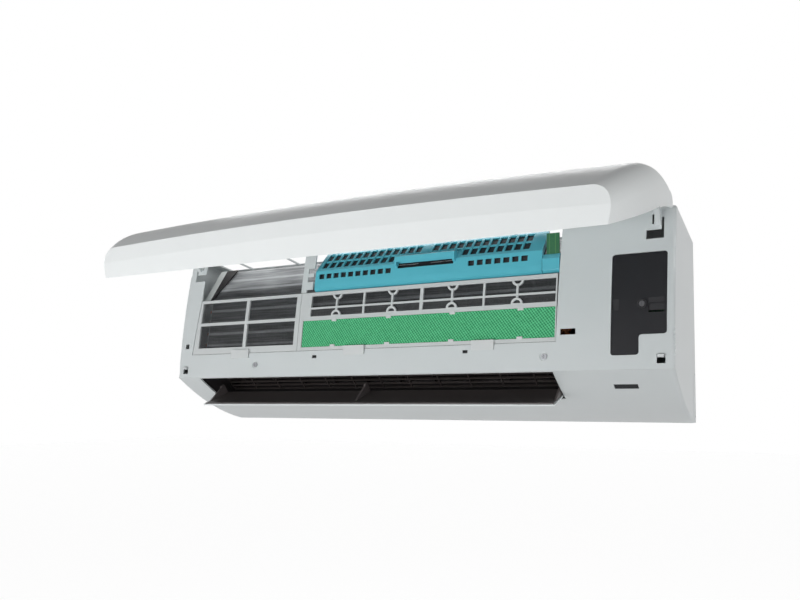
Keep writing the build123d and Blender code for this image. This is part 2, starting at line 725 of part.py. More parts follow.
# ---------------------------------------------------------------- drain pan and chassis
pan_front, pan_knee, pan_tip = (6.5, 73.7), (40.0, 88.0), (67.0, 113.0)
pan_wall = 2.5
pan_height = 101.0
front_way, back_way = along(pan_front, pan_knee), along(pan_knee, pan_tip)
front_up, back_up = (-front_way[1], front_way[0]), (-back_way[1], back_way[0])
pan_inside = pan_front[0] + pan_wall
pan_floor = shift(pan_front, front_up, pan_wall)
spout_at = (17.5, 88.5)
spout_radius, spout_bore, spout_length = 7.0, 5.5, 26.0
thread = 1.95             # pilot holes of the casing screws

with BuildPart() as drain_pan:
    with BuildSketch(at_side(duct_left - duct_wall)):
        Polygon(pan_front, pan_knee, pan_tip, shift(pan_tip, back_up, pan_wall),
                meet(pan_floor, front_way, shift(pan_knee, back_up, pan_wall), back_way),
                meet(pan_floor, front_way, (pan_inside, 0), (0, 1)), (pan_inside, pan_height),
                (pan_front[0], pan_height), align=None)
    extrude(amount=duct_right - duct_left + 2 * duct_wall)
    for x in (duct_left - duct_wall, duct_right):
        with BuildSketch(at_side(x)):
            Polygon(pan_front, pan_knee, (pan_knee[0], 93.5), (14, 98.5), (pan_inside, pan_height),
                    (pan_front[0], pan_height), align=None)
        extrude(amount=duct_wall)
    # a spout at each end; the left one is plugged
    for x, length in ((duct_right, duct_wall + spout_length), (duct_left - duct_wall - 8, 8.5)):
        with BuildSketch(at_side(x)):
            with Locations(spout_at):
                Circle(spout_radius)
        extrude(amount=length)
        with BuildSketch(at_side(x - 2 * duct_wall)):
            with Locations(spout_at):
                Circle(spout_bore)
        extrude(amount=length + 4 * duct_wall, mode=Mode.SUBTRACT)
    # bosses that take the casing's screws
    for x in (-screw_x, screw_x):
        with BuildSketch(at_front(pan_inside)):
            with Locations((x, screw_h)):
                Circle(4)
        extrude(amount=-7)
        with BuildSketch(at_front(0)):
            with Locations((x, screw_h)):
                Circle(thread)
        extrude(amount=-20, mode=Mode.SUBTRACT)
finish(drain_pan, "drain_pan")

with BuildPart() as drain_cap:
    with BuildSketch(at_side(duct_left - duct_wall - 8 - fit / 3)):
        with Locations(spout_at):
            Circle(spout_radius)
    extrude(amount=-2.5)
    with BuildSketch(at_side(duct_left - duct_wall - 8 - fit / 3)):
        with Locations(spout_at):
            Circle(spout_bore - fit / 3)
    extrude(amount=7)
finish(drain_cap, "drain_cap")

scroll = [(156.0, 188.0), (156.5, 160.0), (146.0, 103.0), (118.0, 72.0), (90.0, 45.0), (71.5, 38.0)]


def scroll_line(distance):
    """The scroll's inner wall from its top to the outlet lip, moved away from the fan."""
    (x0, y0), (x1, y1), (x2, y2), (x3, y3), (x4, y4), (x5, y5) = scroll
    a, b = distance, distance * 0.7
    with BuildLine() as lines:
        Line((x0 + a, y0), (x1 + a, y1))
        ThreePointArc((x1 + a, y1), (x2 + b, y2 - b), (x3 + b, y3 - b))
        Line((x3 + b, y3 - b), (x4 + b, y4 - b))
        Line((x4 + b, y4 - b), (x5, y5 - a))
    return lines


bearing_boss = 14.0
bearing_mount_radius = 11.0
motor_radius = 42.0
motor_left, motor_right = duct_right + 11.5, duct_right + 63.5
side_frame = motor_right + 2
saddle_front, saddle_top = 52.0, 140.0
clamp_screws, clamp_middle, clamp_screw = (57.0, 155.0), (motor_left + motor_right) / 2, 1.6
hook_places, hook_height = (-205.0, 205.0), 243.0
cheek_thick = 2.0
with BuildPart() as rear_chassis:
    # scroll wall behind the fan
    with BuildSketch(at_side(duct_left - duct_wall)) as wall_section:
        with BuildLine():
            add(scroll_line(0).line)
            add(scroll_line(sheet).line)
            Line(scroll[0], (scroll[0][0] + sheet, scroll[0][1]))
            Line(scroll[5], (scroll[5][0], scroll[5][1] - sheet))
        make_face()
    extrude(amount=duct_right - duct_left + 2 * duct_wall)
    # gutter under the rear of the coil
    with BuildSketch(at_side(duct_left - duct_wall)):
        Polygon((141, 191), (139, 191), (139, 185), (160, 185), (176, 199), (176, 203), (174, 203),
                (158.5, 188.5), (141, 187), align=None)
    extrude(amount=duct_right - duct_left + 2 * duct_wall)
    # back plate against the mounting plate, with the hooks' slots
    boxes(at_front(back_depth), [(-half + 8, 12, half - 8, 256)], sheet, Mode.ADD)
    boxes(at_front(back_depth + 1), [(x - 12, hook_height - 13, x + 12, hook_height + fit)
                                     for x in hook_places], 2 * sheet)
    # ribs from the scroll to the back plate, and shelves over them
    ribs = [duct_left - duct_wall + k * (duct_right - duct_left + duct_wall) / 6 for k in range(7)]
    for x in ribs:
        with BuildSketch(at_side(x)):
            with BuildLine():
                add(scroll_line(sheet / 2).line)
                Polyline((scroll[0][0] + sheet / 2, scroll[0][1]), (back_depth, scroll[0][1]),
                         (back_depth, 12), (150, 12), (130, 16), (110, 22), (92, 29.5), (78, 34.4),
                         (scroll[5][0], scroll[5][1] - sheet / 2))
            make_face()
        extrude(amount=duct_wall)
    # side walls of the duct round the fan's ends
    for x in (duct_left - duct_wall, duct_right):
        with BuildSketch(at_side(x)):
            with Locations(fan_centre):
                Circle(fan_radius + 5.5)
            Polygon((8, 73.9), (pan_knee[0] + fit, pan_knee[1] - 2 * fit),
                    (pan_tip[0] + fit, pan_tip[1] - fit), fan_centre, (150, 120), scroll[3],
                    scroll[4], scroll[5], (66, 38.8), (50, 45.5), (30, 58), (8, 72.5), align=None)
        extrude(amount=duct_wall)
    # bores for the bearing, the motor shaft and the vane's pins
    with BuildSketch(at_side(duct_left - duct_wall - 10)):
        with Locations(fan_centre):
            Circle(bearing_boss)
    extrude(amount=10)
    for x, radius in ((duct_left - 40, bearing_mount_radius + fit / 3), (duct_right - 1, 16.0)):
        with BuildSketch(at_side(x)):
            with Locations(fan_centre):
                Circle(radius)
        extrude(amount=42, mode=Mode.SUBTRACT)
    for x in (duct_left - 10, duct_right - 1):
        with BuildSketch(at_side(x)):
            with Locations(vane_pivot):
                Circle(vane_pin + pin_run)
        extrude(amount=12, mode=Mode.SUBTRACT)
    # saddle under the fan motor
    with BuildSketch(at_side(motor_left + 4)):
        Polygon((saddle_front, 76), (saddle_front, saddle_top), (back_depth, saddle_top),
                (back_depth, 76), align=None)
        with Locations(fan_centre):
            Circle(motor_radius + fit, mode=Mode.SUBTRACT)
    extrude(amount=motor_right - motor_left - 8)
    for depth in clamp_screws:
        with BuildSketch(at_top(saddle_top + 1)):
            with Locations((clamp_middle, depth)):
                Circle(clamp_screw + pin_run)
        extrude(amount=-12, mode=Mode.SUBTRACT)
    # curved cheek beside the coil's left end, seen above the left filter
    with BuildSketch(at_side(window_left + 1)):
        cheek = [shift(lower_head, (-1, 0), 4.0), shift(upper_foot, (-0.83, 0.55), 3.0),
                 shift(upper_head, (-0.6, 0.8), 3.5)]
        Polygon(*cheek, shift(cheek[2], (0.66, -0.75), cheek_thick),
                shift(cheek[1], (0.9, -0.4), cheek_thick), shift(cheek[0], (1, 0), cheek_thick),
                align=None)
    extrude(amount=coil_left + 24 - window_left - 1)
    cheek_low, cheek_high = coil_left - 2, coil_left + 20
    with BuildSketch(at_front(-20)):
        Polygon((cheek_low, cheek[0][1] - 1), (cheek_high, cheek[2][1] + 2), (cheek_high + 10, cheek[2][1] + 2),
                (cheek_high + 10, cheek[0][1] - 1), align=None)
    extrude(amount=-(cheek[2][0] + 22), mode=Mode.SUBTRACT)
    with BuildSketch(at_side(window_left + 1)):
        Polygon(*cheek, (128, 262), (176, 250), (back_depth, 240), (back_depth, 190), (60, 196),
                align=None)
    extrude(amount=cheek_thick)
    # side frame on the right, between coil and controls
    with BuildSketch(at_side(side_frame)):
        Polygon((66, 42), (66, 110), (66, 190), (100, 250), (back_depth, 250), (back_depth, 80),
                (150, 80), (150, 14), align=None)
        with Locations(fan_centre):
            Circle(30, mode=Mode.SUBTRACT)
    extrude(amount=sheet)
finish(rear_chassis, "rear_chassis")

# ---------------------------------------------------------------- cross-flow fan and its drive
ring_thick = 2.0
hub_radius = 10.0
with BuildPart() as fan_rotor:
    blade = [(35.6, 0.5), (38.0, -0.5), (40.4, -0.3), (43.8, 2.4), (43.2, 3.2), (40.0, 0.7),
             (38.2, 0.5), (36.0, 1.5)]
    with BuildSketch(at_side(fan_left)):
        for k in range(fan_blades):
            Polygon(*[turned((fan_centre[0] + r, fan_centre[1] + t), fan_centre, 360 * k / fan_blades)
                      for r, t in blade], align=None)
    extrude(amount=fan_right - fan_left)
    for k in range(fan_rings):
        x = fan_left + (k + 1) * (fan_right - fan_left) / (fan_rings + 1) - ring_thick / 2
        with BuildSketch(at_side(x)):
            with Locations(fan_centre):
                Circle(fan_radius)
                Circle(fan_radius - 10, mode=Mode.SUBTRACT)
        extrude(amount=ring_thick)
    for x, bore in ((fan_left, shaft_radius), (fan_right - 3, hub_radius)):
        with BuildSketch(at_side(x)):
            with Locations(fan_centre):
                Circle(fan_radius)
                Circle(bore + shaft_run, mode=Mode.SUBTRACT)
        extrude(amount=3)
finish(fan_rotor, "fan_rotor")

with BuildPart() as fan_hub:
    disc(fan_right - 9, fan_centre, hub_radius, 14)
    disc(fan_right - 10, fan_centre, shaft_radius + shaft_run, 16, Mode.SUBTRACT)
finish(fan_hub, "fan_hub")

with BuildPart() as fan_shaft:
    disc(duct_left - duct_wall - 8, fan_centre, shaft_radius, 24)
finish(fan_shaft, "fan_shaft")

bearing_radius = 7.0
with BuildPart() as fan_bearing:
    disc(duct_left - duct_wall - 6, fan_centre, bearing_radius, 7)
    disc(duct_left - duct_wall - 7, fan_centre, shaft_radius + shaft_run, 9, Mode.SUBTRACT)
finish(fan_bearing, "fan_bearing")

with BuildPart() as bearing_mount:
    disc(duct_left - duct_wall - 7, fan_centre, bearing_mount_radius, 9)
    disc(duct_left - duct_wall - 8, fan_centre, bearing_radius + shaft_run, 11, Mode.SUBTRACT)
finish(bearing_mount, "bearing_mount")

with BuildPart() as motor_shaft:
    disc(fan_right - 8, fan_centre, shaft_radius, motor_right - fan_right + 12)
finish(motor_shaft, "motor_shaft")

with BuildPart() as fan_motor:
    disc(motor_left, fan_centre, motor_radius, motor_right - motor_left)
    fillet(fan_motor.edges(), 5)
    disc(motor_left - 3, fan_centre, 14, motor_right - motor_left + 4.5)
    disc(motor_left - 4, fan_centre, shaft_radius + shaft_run, 70, Mode.SUBTRACT)
finish(fan_motor, "fan_motor")

clamp_width, clamp_thick = 16.0, 2.4
with BuildPart() as motor_clamp:
    with BuildSketch(at_side(clamp_middle - clamp_width / 2)):
        with Locations(fan_centre):
            Circle(motor_radius + fit + clamp_thick)
        for depth in clamp_screws:
            with Locations((depth, saddle_top + fit / 3 + clamp_thick / 2)):
                Rectangle(11, clamp_thick)
        with Locations(fan_centre):
            Circle(motor_radius + fit, mode=Mode.SUBTRACT)
        with Locations((fan_centre[0], saddle_top + fit / 3 - 40)):
            Rectangle(140, 80, mode=Mode.SUBTRACT)
    extrude(amount=clamp_width)
    for depth in clamp_screws:
        with BuildSketch(at_top(saddle_top - 1)):
            with Locations((clamp_middle, depth)):
                Circle(clamp_screw + pin_run)
        extrude(amount=6, mode=Mode.SUBTRACT)
finish(motor_clamp, "motor_clamp")

with BuildPart() as motor_screws:
    for depth in clamp_screws:
        for height, radius, length in ((saddle_top + clamp_thick + 2 * fit / 3, 3.2, 2.0),
                                       (saddle_top + clamp_thick + 1, clamp_screw, -11)):
            with BuildSketch(at_top(height)):
                with Locations((clamp_middle, depth)):
                    Circle(radius)
            extrude(amount=length)
finish(motor_screws, "motor_screws")

# ---------------------------------------------------------------- outlet guard, louvres, links
across = (0.722, -0.692)      # section direction along the guard and the louvres' pins
upstream = (0.692, 0.722)
across_way = Y * across[0] + Z * across[1]
upstream_way = Y * upstream[0] + Z * upstream[1]
guard_top = (52.0, 96.0)
guard_span = (0.5, 61.0)
guard_bays, guard_rows = 12, 7
guard_bar, guard_thick = 1.6, 3.0
guard_width = duct_right - duct_left - 2 * fit
duct_middle = (duct_left + duct_right) / 2
with BuildPart() as outlet_guard:
    guard_plane = Plane(origin=spot(0, *guard_top), x_dir=X, z_dir=upstream_way)
    with BuildSketch(guard_plane.offset(-guard_thick / 2)):
        tall = guard_span[1] - guard_span[0]
        with Locations((duct_middle, (guard_span[0] + guard_span[1]) / 2)):
            Rectangle(guard_width, tall)
            wide, high = (guard_width - guard_bar) / guard_bays, (tall - guard_bar) / guard_rows
            with GridLocations(wide, high, guard_bays, guard_rows):
                Rectangle(wide - guard_bar, high - guard_bar, mode=Mode.SUBTRACT)
    extrude(amount=guard_thick)
finish(outlet_guard, "outlet_guard")


def louvre_spot(x, down, back):
    """A point in a louvre's own directions: down its pin and upstream of it."""
    return spot(x, *shift(shift(louvre_centre, across, down), upstream, back))


louvre_top, louvre_foot = -17.0, 24.0
link_arm, link_pin, link_play = 8.0, 1.2, 0.3
link_thick = 2.0
rail_top, rail_foot = louvre_foot + 0.4, 31.0
louvre_x = [duct_middle + (k - (louvre_count - 1) / 2) * louvre_pitch for k in range(louvre_count)]
for number, x in enumerate(louvre_x, 1):
    with BuildPart() as louvre:
        half_length = louvre_length / 2
        with BuildSketch(at_side(x - louvre_thick / 2)):
            outline = ((louvre_top, -half_length), (louvre_top, half_length - 5),
                       (louvre_top + 5, half_length), (louvre_foot, half_length - 2),
                       (louvre_foot, -half_length))
            Polygon(*[shift(shift(louvre_centre, across, down), upstream, back)
                      for down, back in outline], align=None)
        extrude(amount=louvre_thick)
        for down, back, radius, length in ((louvre_foot - 4, 0, louvre_pin, 9.5),
                                           (louvre_top + 3, -link_arm, link_pin, -6.8)):
            with BuildSketch(Plane(origin=louvre_spot(x, down, back), x_dir=X, z_dir=across_way)):
                Circle(radius)
            extrude(amount=length)
    finish(louvre, f"louvre_{number:02d}")

with BuildPart() as louvre_rail:
    with BuildSketch(Plane(origin=louvre_spot(0, rail_top, 0), x_dir=X, z_dir=across_way)):
        with Locations((duct_middle, 0)):
            Rectangle(guard_width - 20, 12)
    extrude(amount=rail_foot - rail_top)
    with BuildSketch(Plane(origin=louvre_spot(0, rail_top, 0), x_dir=X, z_dir=across_way)):
        with Locations(*[(x, 0) for x in louvre_x]):
            Circle(louvre_pin + pin_run)
    extrude(amount=5.6, mode=Mode.SUBTRACT)
finish(louvre_rail, "louvre_rail")

for name, group in (("link_bar_left", louvre_x[:5]), ("link_bar_right", louvre_x[5:])):
    with BuildPart() as link_bar:
        top = Plane(origin=louvre_spot(0, louvre_top - 0.5, 0), x_dir=X, z_dir=-across_way)
        rise = top.y_dir.dot(upstream_way)
        with BuildSketch(top):
            with Locations(((group[0] + group[-1]) / 2, -rise * link_arm)):
                Rectangle(group[-1] - group[0] + 16, 9)
            with Locations(*[(x, -rise * (link_arm - 0.55)) for x in group]):
                Rectangle(2 * (link_pin + link_play), 2 * link_pin + 1.8, mode=Mode.SUBTRACT)
        extrude(amount=link_thick)
    finish(link_bar, name)

# ---------------------------------------------------------------- outlet vane
vane_turn = radians(vane_open)
vane_way = Y * cos(vane_turn) + Z * sin(vane_turn)


def vane_at(x):
    """Section plane of the vane, turned open; local axes as in its closed pose."""
    return Plane(origin=spot(x, *vane_pivot), x_dir=vane_way, z_dir=X)


def vane_local(point, lift=0):
    """A closed-pose point, lifted into the duct, relative to the pivot."""
    lifted = shift(point, mouth_in, lift)
    return (lifted[0] - vane_pivot[0], lifted[1] - vane_pivot[1])


def vane_sheet(low, high, inset):
    """Closed section of one layer of the vane."""
    ends = (shift(outlet_top, mouth_way, inset), (32.6, 50.6), shift(outlet_bottom, mouth_way, -inset))
    outer = [vane_local(p, low) for p in ends]
    inner = [vane_local(p, high) for p in ends]
    with BuildLine() as lines:
        ThreePointArc(*outer)
        Line(outer[2], inner[2])
        ThreePointArc(*inner)
        Line(inner[0], outer[0])
    return lines


vane_left, vane_right = outlet_left + vane_gap, outlet_right - vane_gap
with BuildPart() as vane_skin:
    with BuildSketch(vane_at(vane_left)):
        add(vane_sheet(0.3, vane_thick, 0.8).line)
        make_face()
    extrude(amount=vane_right - vane_left)
finish(vane_skin, "vane_skin")

liner_gap, liner_thick = 0.08, 1.4
with BuildPart() as vane_liner:
    liner_low = vane_thick + liner_gap
    with BuildSketch(vane_at(vane_left + 2)):
        add(vane_sheet(liner_low, liner_low + liner_thick, 3.5).line)
        make_face()
    extrude(amount=vane_right - vane_left - 4)
    for x in (vane_left + 1, -66.5, vane_right - 4):
        with BuildSketch(vane_at(x)):
            Polygon(vane_local((16, 63.2), liner_low - 1), vane_local((58.3, 38.6), liner_low - 1),
                    (4.6, 0), (3.2, 3.2), (-1, 4.5), (-4.5, 3), align=None)
            add(vane_sheet(-3, liner_low, -4).line)
            make_face(mode=Mode.SUBTRACT)
        extrude(amount=3)
    for x, length in ((vane_left + 2, -9.5), (vane_right - 2, 15.5)):
        with BuildSketch(vane_at(x)):
            Circle(vane_pin)
        extrude(amount=length)
finish(vane_liner, "vane_liner")

with BuildPart() as vane_motor:
    disc(duct_right + duct_wall + fit, vane_pivot, 12, 18)
    disc(duct_right + duct_wall, vane_pivot, vane_pin + pin_run, 9, Mode.SUBTRACT)
finish(vane_motor, "vane_motor")

# ---------------------------------------------------------------- controls
box_left, box_right = side_frame + sheet + fit, half - 5.0
box_low, box_high, box_back, box_wall = 84.0, 228.0, 64.0, 2.0
box_foot, box_step = 112.0, half - 40.0   # the box is narrower below this height, beside the latch
cover_inset, cover_thick = 1.5, 2.5
box_inset = cover_inset + cover_thick + fit


def box_block(inset, grow, mode):
    """The control box's outside or inside: its mouth follows the leaning face."""
    steps = ((box_low + grow, box_foot + grow, box_step - grow), (box_foot + grow, box_high - grow,
                                                                  box_right - grow))
    for low, high, right in steps:
        with BuildSketch(at_side(box_left + grow)) as section:
            with BuildLine():
                lower, middle, upper = face_arc(inset, low, high)
                ThreePointArc(lower, middle, upper)
                Polyline(upper, (box_back - grow, high), (box_back - grow, low), lower)
            make_face()
        extrude(section.sketch, amount=right - box_left - grow, mode=mode)


board_depth, board_thick = 40.0, 1.6
board_edges = (half - 77.0, 118.0, half - 9.0, 220.0)
terminal_edges = (half - 75.0, 92.0, half - 47.0, box_foot)
cover_boss, boss_radius = (half - 40.0, 155.0), 4.5
with BuildPart() as control_box:
    box_block(box_inset, 0, Mode.ADD)
    box_block(box_inset - 20, box_wall, Mode.SUBTRACT)
    for x in (board_edges[0] + 5, board_edges[2] - 5):
        for height in (board_edges[1] + 6, board_edges[3] - 6):
            with BuildSketch(at_front(board_depth + board_thick + fit / 3)):
                with Locations((x, height)):
                    Circle(2.5)
            extrude(amount=-(box_back - board_depth - board_thick - 1))
    boxes(at_front(34), [terminal_edges], 34 - box_back + 1, Mode.ADD)
    # post that takes the cover's screw
    with BuildSketch(at_front(16.5)):
        with Locations(cover_boss):
            Circle(4)
            Circle(1.6, mode=Mode.SUBTRACT)
    extrude(amount=-(box_back - 17.5))
finish(control_box, "control_box")

with BuildPart() as control_cover:
    with BuildSketch(at_side(cover_left)):
        add(face_strip(cover_inset, cover_thick, cover_bottom - 5, cover_top + 5).line)
        make_face()
    extrude(amount=cover_right - cover_left)
    with BuildSketch(at_front(-20)) as cover_outline:
        Polygon((cover_left, cover_bottom), (cover_step, cover_bottom), (cover_step, cover_step_height),
                (cover_right, cover_step_height), (cover_right, cover_top), (cover_left, cover_top),
                align=None)
        fillet(cover_outline.vertices(), corner - slack)
    extrude(amount=-80, mode=Mode.INTERSECT)
    with BuildSketch(at_front(9.0)):
        with Locations(cover_boss):
            Circle(boss_radius + 1.5)
    extrude(amount=-6.5)
    with BuildSketch(at_front(0)):
        with Locations(cover_boss):
            Circle(boss_radius)
    extrude(amount=-11.5, mode=Mode.SUBTRACT)
    with BuildSketch(at_front(0)):
        with Locations(cover_boss):
            Circle(1.8)
    extrude(amount=-20, mode=Mode.SUBTRACT)
    # two shallow finger recesses and a snap notch
    recess_depth = face_arc(cover_inset, 140, 170)[1][0] + 1.2
    boxes(at_front(recess_depth), [(half - 32, low, half - 13, low + 11) for low in (143.5, 156)],
          10)
    boxes(at_front(recess_depth), [(cover_left + 1, 147, cover_left + 9, 164)], 10)
finish(control_cover, "control_cover")

with BuildPart() as cover_screw:
    for depth, radius, length in ((11.5 - fit / 3, 3.6, 2.2), (11.5 - fit / 3, 1.5, -12)):
        with BuildSketch(at_front(depth)):
            with Locations(cover_boss):
                Circle(radius)
        extrude(amount=length)
    with BuildSketch(at_front(0)):
        with Locations(cover_boss):
            Rectangle(5, 1.1)
            Rectangle(1.1, 5)
    extrude(amount=-10.4, mode=Mode.SUBTRACT)
finish(cover_screw, "cover_screw")

with BuildPart() as circuit_board:
    left, low, right, high = board_edges
    boxes(at_front(board_depth + board_thick), [board_edges], board_thick, Mode.ADD)
    boxes(at_front(board_depth), [(left + 6, 126, left + 24, 142), (left + 34, 126, left + 50, 146)],
          14, Mode.ADD)
    boxes(at_front(board_depth), [(left + 8, 176, left + 30, 190), (left + 44, 178, left + 58, 200)],
          6, Mode.ADD)
    with BuildSketch(at_front(board_depth + 5)):
        with Locations(cover_boss):
            Circle(5)
    extrude(amount=10, mode=Mode.SUBTRACT)
finish(circuit_board, "circuit_board")

with BuildPart() as terminal_block:
    boxes(at_front(34 - fit / 3), [terminal_edges], 14, Mode.ADD)
    for k in range(4):
        with BuildSketch(at_front(15)):
            with Locations((terminal_edges[0] + 3.5 + 7 * k, 102)):
                Circle(2.4)
        extrude(amount=-10, mode=Mode.SUBTRACT)
finish(terminal_block, "terminal_block")

with BuildPart() as display_lens:
    for inset, low, high in ((fit, 0.3, casing_wall + fit), (-2, casing_wall + fit, casing_wall + 1.4)):
        with BuildSketch(at_side(display_left + inset)):
            upper = shift(display_high, window_way, inset)
            lower = shift(display_low, window_way, -inset)
            Polygon(shift(upper, window_in, low), shift(lower, window_in, low),
                    shift(lower, window_in, high), shift(upper, window_in, high), align=None)
        extrude(amount=display_right - display_left - 2 * inset)
finish(display_lens, "display_lens")

with BuildPart() as display_board:
    with BuildSketch(at_side(display_left - 3)):
        low, high = casing_wall + 1.7, casing_wall + 3.2
        Polygon(shift(display_high, window_in, low), shift(display_low, window_in, low),
                shift(display_low, window_in, high), shift(display_high, window_in, high), align=None)
    extrude(amount=display_right - display_left + 6)
finish(display_board, "display_board")

# ---------------------------------------------------------------- refrigerant pipes
suction_radius, liquid_radius = 4.75, 3.2
pipe_start, pipe_x, pipe_end = tube_end + 0.1, duct_right + 10.0, duct_right + 51.5
suction_low, liquid_low = (165.0, 48.0), (170.0, 24.0)
with BuildPart() as suction_pipe:
    first = tube_spots[8][1]
    tube([spot(pipe_start, *first), spot(pipe_x, *first), spot(pipe_x, suction_low[0], 186),
          spot(pipe_x, *suction_low), spot(pipe_end, *suction_low)], suction_radius, 6.5)
finish(suction_pipe, "suction_pipe")
with BuildPart() as liquid_pipe:
    first = tube_spots[10][0]
    tube([spot(pipe_start, *first), spot(pipe_x, *first), spot(pipe_x, 175.5, 228),
          spot(pipe_x, 175.5, 60), spot(pipe_x, *liquid_low), spot(pipe_end, *liquid_low)],
         liquid_radius, 6)
finish(liquid_pipe, "liquid_pipe")
with BuildPart() as flare_nuts:
    for centre, radius, flats in ((suction_low, suction_radius, 9.0), (liquid_low, liquid_radius, 7.0)):
        with BuildSketch(at_side(pipe_end - 16)):
            with Locations(centre):
                RegularPolygon(flats, 6, major_radius=False)
                Circle(radius + pin_run, mode=Mode.SUBTRACT)
        extrude(amount=14)
finish(flare_nuts, "flare_nuts")

# ---------------------------------------------------------------- mounting plate on the wall
plate_front = unit_depth - plate_thick
with BuildPart() as mounting_plate:
    boxes(at_front(unit_depth), [(-plate_width / 2, plate_bottom, plate_width / 2, plate_top)],
          plate_thick, Mode.ADD)
    with BuildSketch(at_front(unit_depth + 1)):
        with Locations((0, screw_height)):
            with GridLocations(wall_screw_x, wall_screw_z, 2, 2):
                Circle(wall_screw_hole)
            with GridLocations(124, 0, 3, 1):
                SlotOverall(80, 40)
    extrude(amount=4, mode=Mode.SUBTRACT)
    # hooks that the chassis hangs on and pads that it leans on
    for x in hook_places:
        boxes(at_front(plate_front), [(x - 9, hook_height - 3, x + 9, hook_height)], 14.5, Mode.ADD)
        boxes(at_front(plate_front - 11.4), [(x - 9, hook_height - 3, x + 9, hook_height + 5)], 3, Mode.ADD)
    pad = plate_width / 2 - 28
    boxes(at_front(plate_front), [(side * pad - 12, low, side * pad + 12, low + 14)
                                  for side in (-1, 1) for low in (52, 226)],
          plate_front - back_depth - fit, Mode.ADD)
finish(mounting_plate, "mounting_plate")

# ---------------------------------------------------------------- front panel
panel_turn = radians(-panel_open)
panel_deep = Y * cos(panel_turn) + Z * sin(panel_turn)
panel_up = Z * cos(panel_turn) - Y * sin(panel_turn)
# closed section about the hinge: (towards the wall, up)
panel_lip, panel_crease, panel_edge = (-15.0, -217.0), (-42.0, -207.7), (-62.0, -198.0)
panel_belly, panel_shoulder = (-69.9, -97.6), (-38.0, -2.0)
panel_brow, panel_top = (-30.0, 18.0), (-3.0, 18.0)
panel_seat = [(-2.4, 12.3), (-0.4, 0.2), (-3.4, -10.2), (-5.4, -20.3), (-11.6, -101.0)]
crown_centre = panel_crown + panel_belly[0]
crown_angle = 2.3
taper_start = -90.0
taper_radius = 236.5
taper_centre = (half - taper_radius, taper_start)
# clear of the casing's face below the latches, in depth and height of the closed panel
end_seat = [(-0.3, 58), (-0.3, 76), (5.6, 131), (30, 131), (30, 58)]
straight_rim = [(2.0, -22.0), (-11.4, -101.0), (-14.9, -217.0), (-15.2, -240.0), (30, -240), (30, -22)]
panel_side_round = 28.0
shoulder_round = 40.0


def panel_at(x):
    """Section plane of the panel, turned open; local axes as in its closed pose."""
    return Plane(origin=spot(x, *hinge), x_dir=panel_deep, z_dir=X)


def panel_outline(inset, deep):
    """Prism through the panel's front outline, drawn in inset from the edge."""
    start = Plane(origin=spot(0, *hinge), x_dir=X, z_dir=-panel_deep)
    with BuildSketch(start.offset(-deep)) as outline:
        with BuildLine():
            wide, radius = half - inset, taper_radius - inset
            foot = panel_lip[1] - 8
            reach = taper_centre[0] + (radius ** 2 - (foot - taper_start) ** 2) ** 0.5
            middle = foot / 2 + taper_start / 2
            belly = taper_centre[0] + (radius ** 2 - (middle - taper_start) ** 2) ** 0.5
            Polyline((wide, taper_start), (wide, 30), (-wide, 30), (-wide, taper_start))
            ThreePointArc((-wide, taper_start), (-belly, middle), (-reach, foot))
            Line((-reach, foot), (reach, foot))
            ThreePointArc((reach, foot), (belly, middle), (wide, taper_start))
        make_face()
    extrude(outline.sketch, amount=deep + 120, mode=Mode.INTERSECT)


def panel_block(section):
    """Turn a closed section about the far centre of the crown."""
    swing = radians(crown_angle)
    deep = panel_deep * cos(swing) + X * sin(swing)
    side = X * cos(swing) - panel_deep * sin(swing)
    centre = Vector(*spot(0, *hinge)) + panel_deep * crown_centre
    with BuildSketch(Plane(origin=centre, x_dir=deep, z_dir=side)) as profile:
        add(section.moved(Location((-crown_centre, 0, 0))))
    revolve(profile.sketch, axis=Axis(centre, panel_up), revolution_arc=2 * crown_angle)


with BuildSketch() as panel_outer:
    with BuildLine():
        Polyline(panel_lip, panel_crease, panel_edge)
        ThreePointArc(panel_edge, panel_belly, panel_shoulder)
        Polyline(panel_shoulder, panel_brow, panel_top, *panel_seat, panel_lip)
    make_face()
    for point, radius in ((panel_shoulder, shoulder_round), (panel_brow, 12)):
        fillet(panel_outer.vertices().sort_by_distance(point)[0], radius)
brow_way = along(panel_shoulder, panel_brow)
belly_way = (0.2, 0.98)      # direction of the face where it meets the shoulder
lip_way, chin_slope = along(panel_crease, panel_lip), along(panel_edge, panel_crease)
lip_inside = shift(panel_lip, (-lip_way[1], lip_way[0]), panel_wall)
top_inside = (panel_brow[0], panel_top[1] - panel_wall)
shoulder_in = meet(shift(panel_shoulder, (belly_way[1], -belly_way[0]), panel_wall), belly_way,
                   shift(panel_brow, (brow_way[1], -brow_way[0]), panel_wall), brow_way)
brow_in = meet(shoulder_in, brow_way, top_inside, (1, 0))
edge_in = (panel_edge[0] + panel_wall - 0.2, panel_edge[1] + 1.5)
crease_in = meet(edge_in, chin_slope, lip_inside, lip_way)
with BuildSketch() as panel_inner:
    with BuildLine():
        ThreePointArc(edge_in, (panel_belly[0] + panel_wall, panel_belly[1]), shoulder_in)
        Polyline(shoulder_in, brow_in, (60, top_inside[1]), shift(lip_inside, lip_way, 60),
                 crease_in, edge_in)
    make_face()
    for point, radius in ((shoulder_in, shoulder_round), (brow_in, 12)):
        fillet(panel_inner.vertices().sort_by_distance(point)[0], radius - panel_wall)


def panel_rim(piece):
    """Edges between the panel's face and its two ends."""
    rim = []
    for edge in piece.edges():
        place = edge.center() - Vector(*spot(0, *hinge))
        deep, up = place.dot(panel_deep), place.dot(panel_up)
        if abs(place.X) > half - 27 and deep < -24 and up > panel_edge[1] + 2 and abs(up - taper_start) > 1:
            rim.append(edge)
    return rim


with BuildPart() as panel_core:
    panel_block(panel_inner.sketch)
    panel_outline(panel_wall, 60)
    fillet(panel_rim(panel_core), panel_side_round - panel_wall)

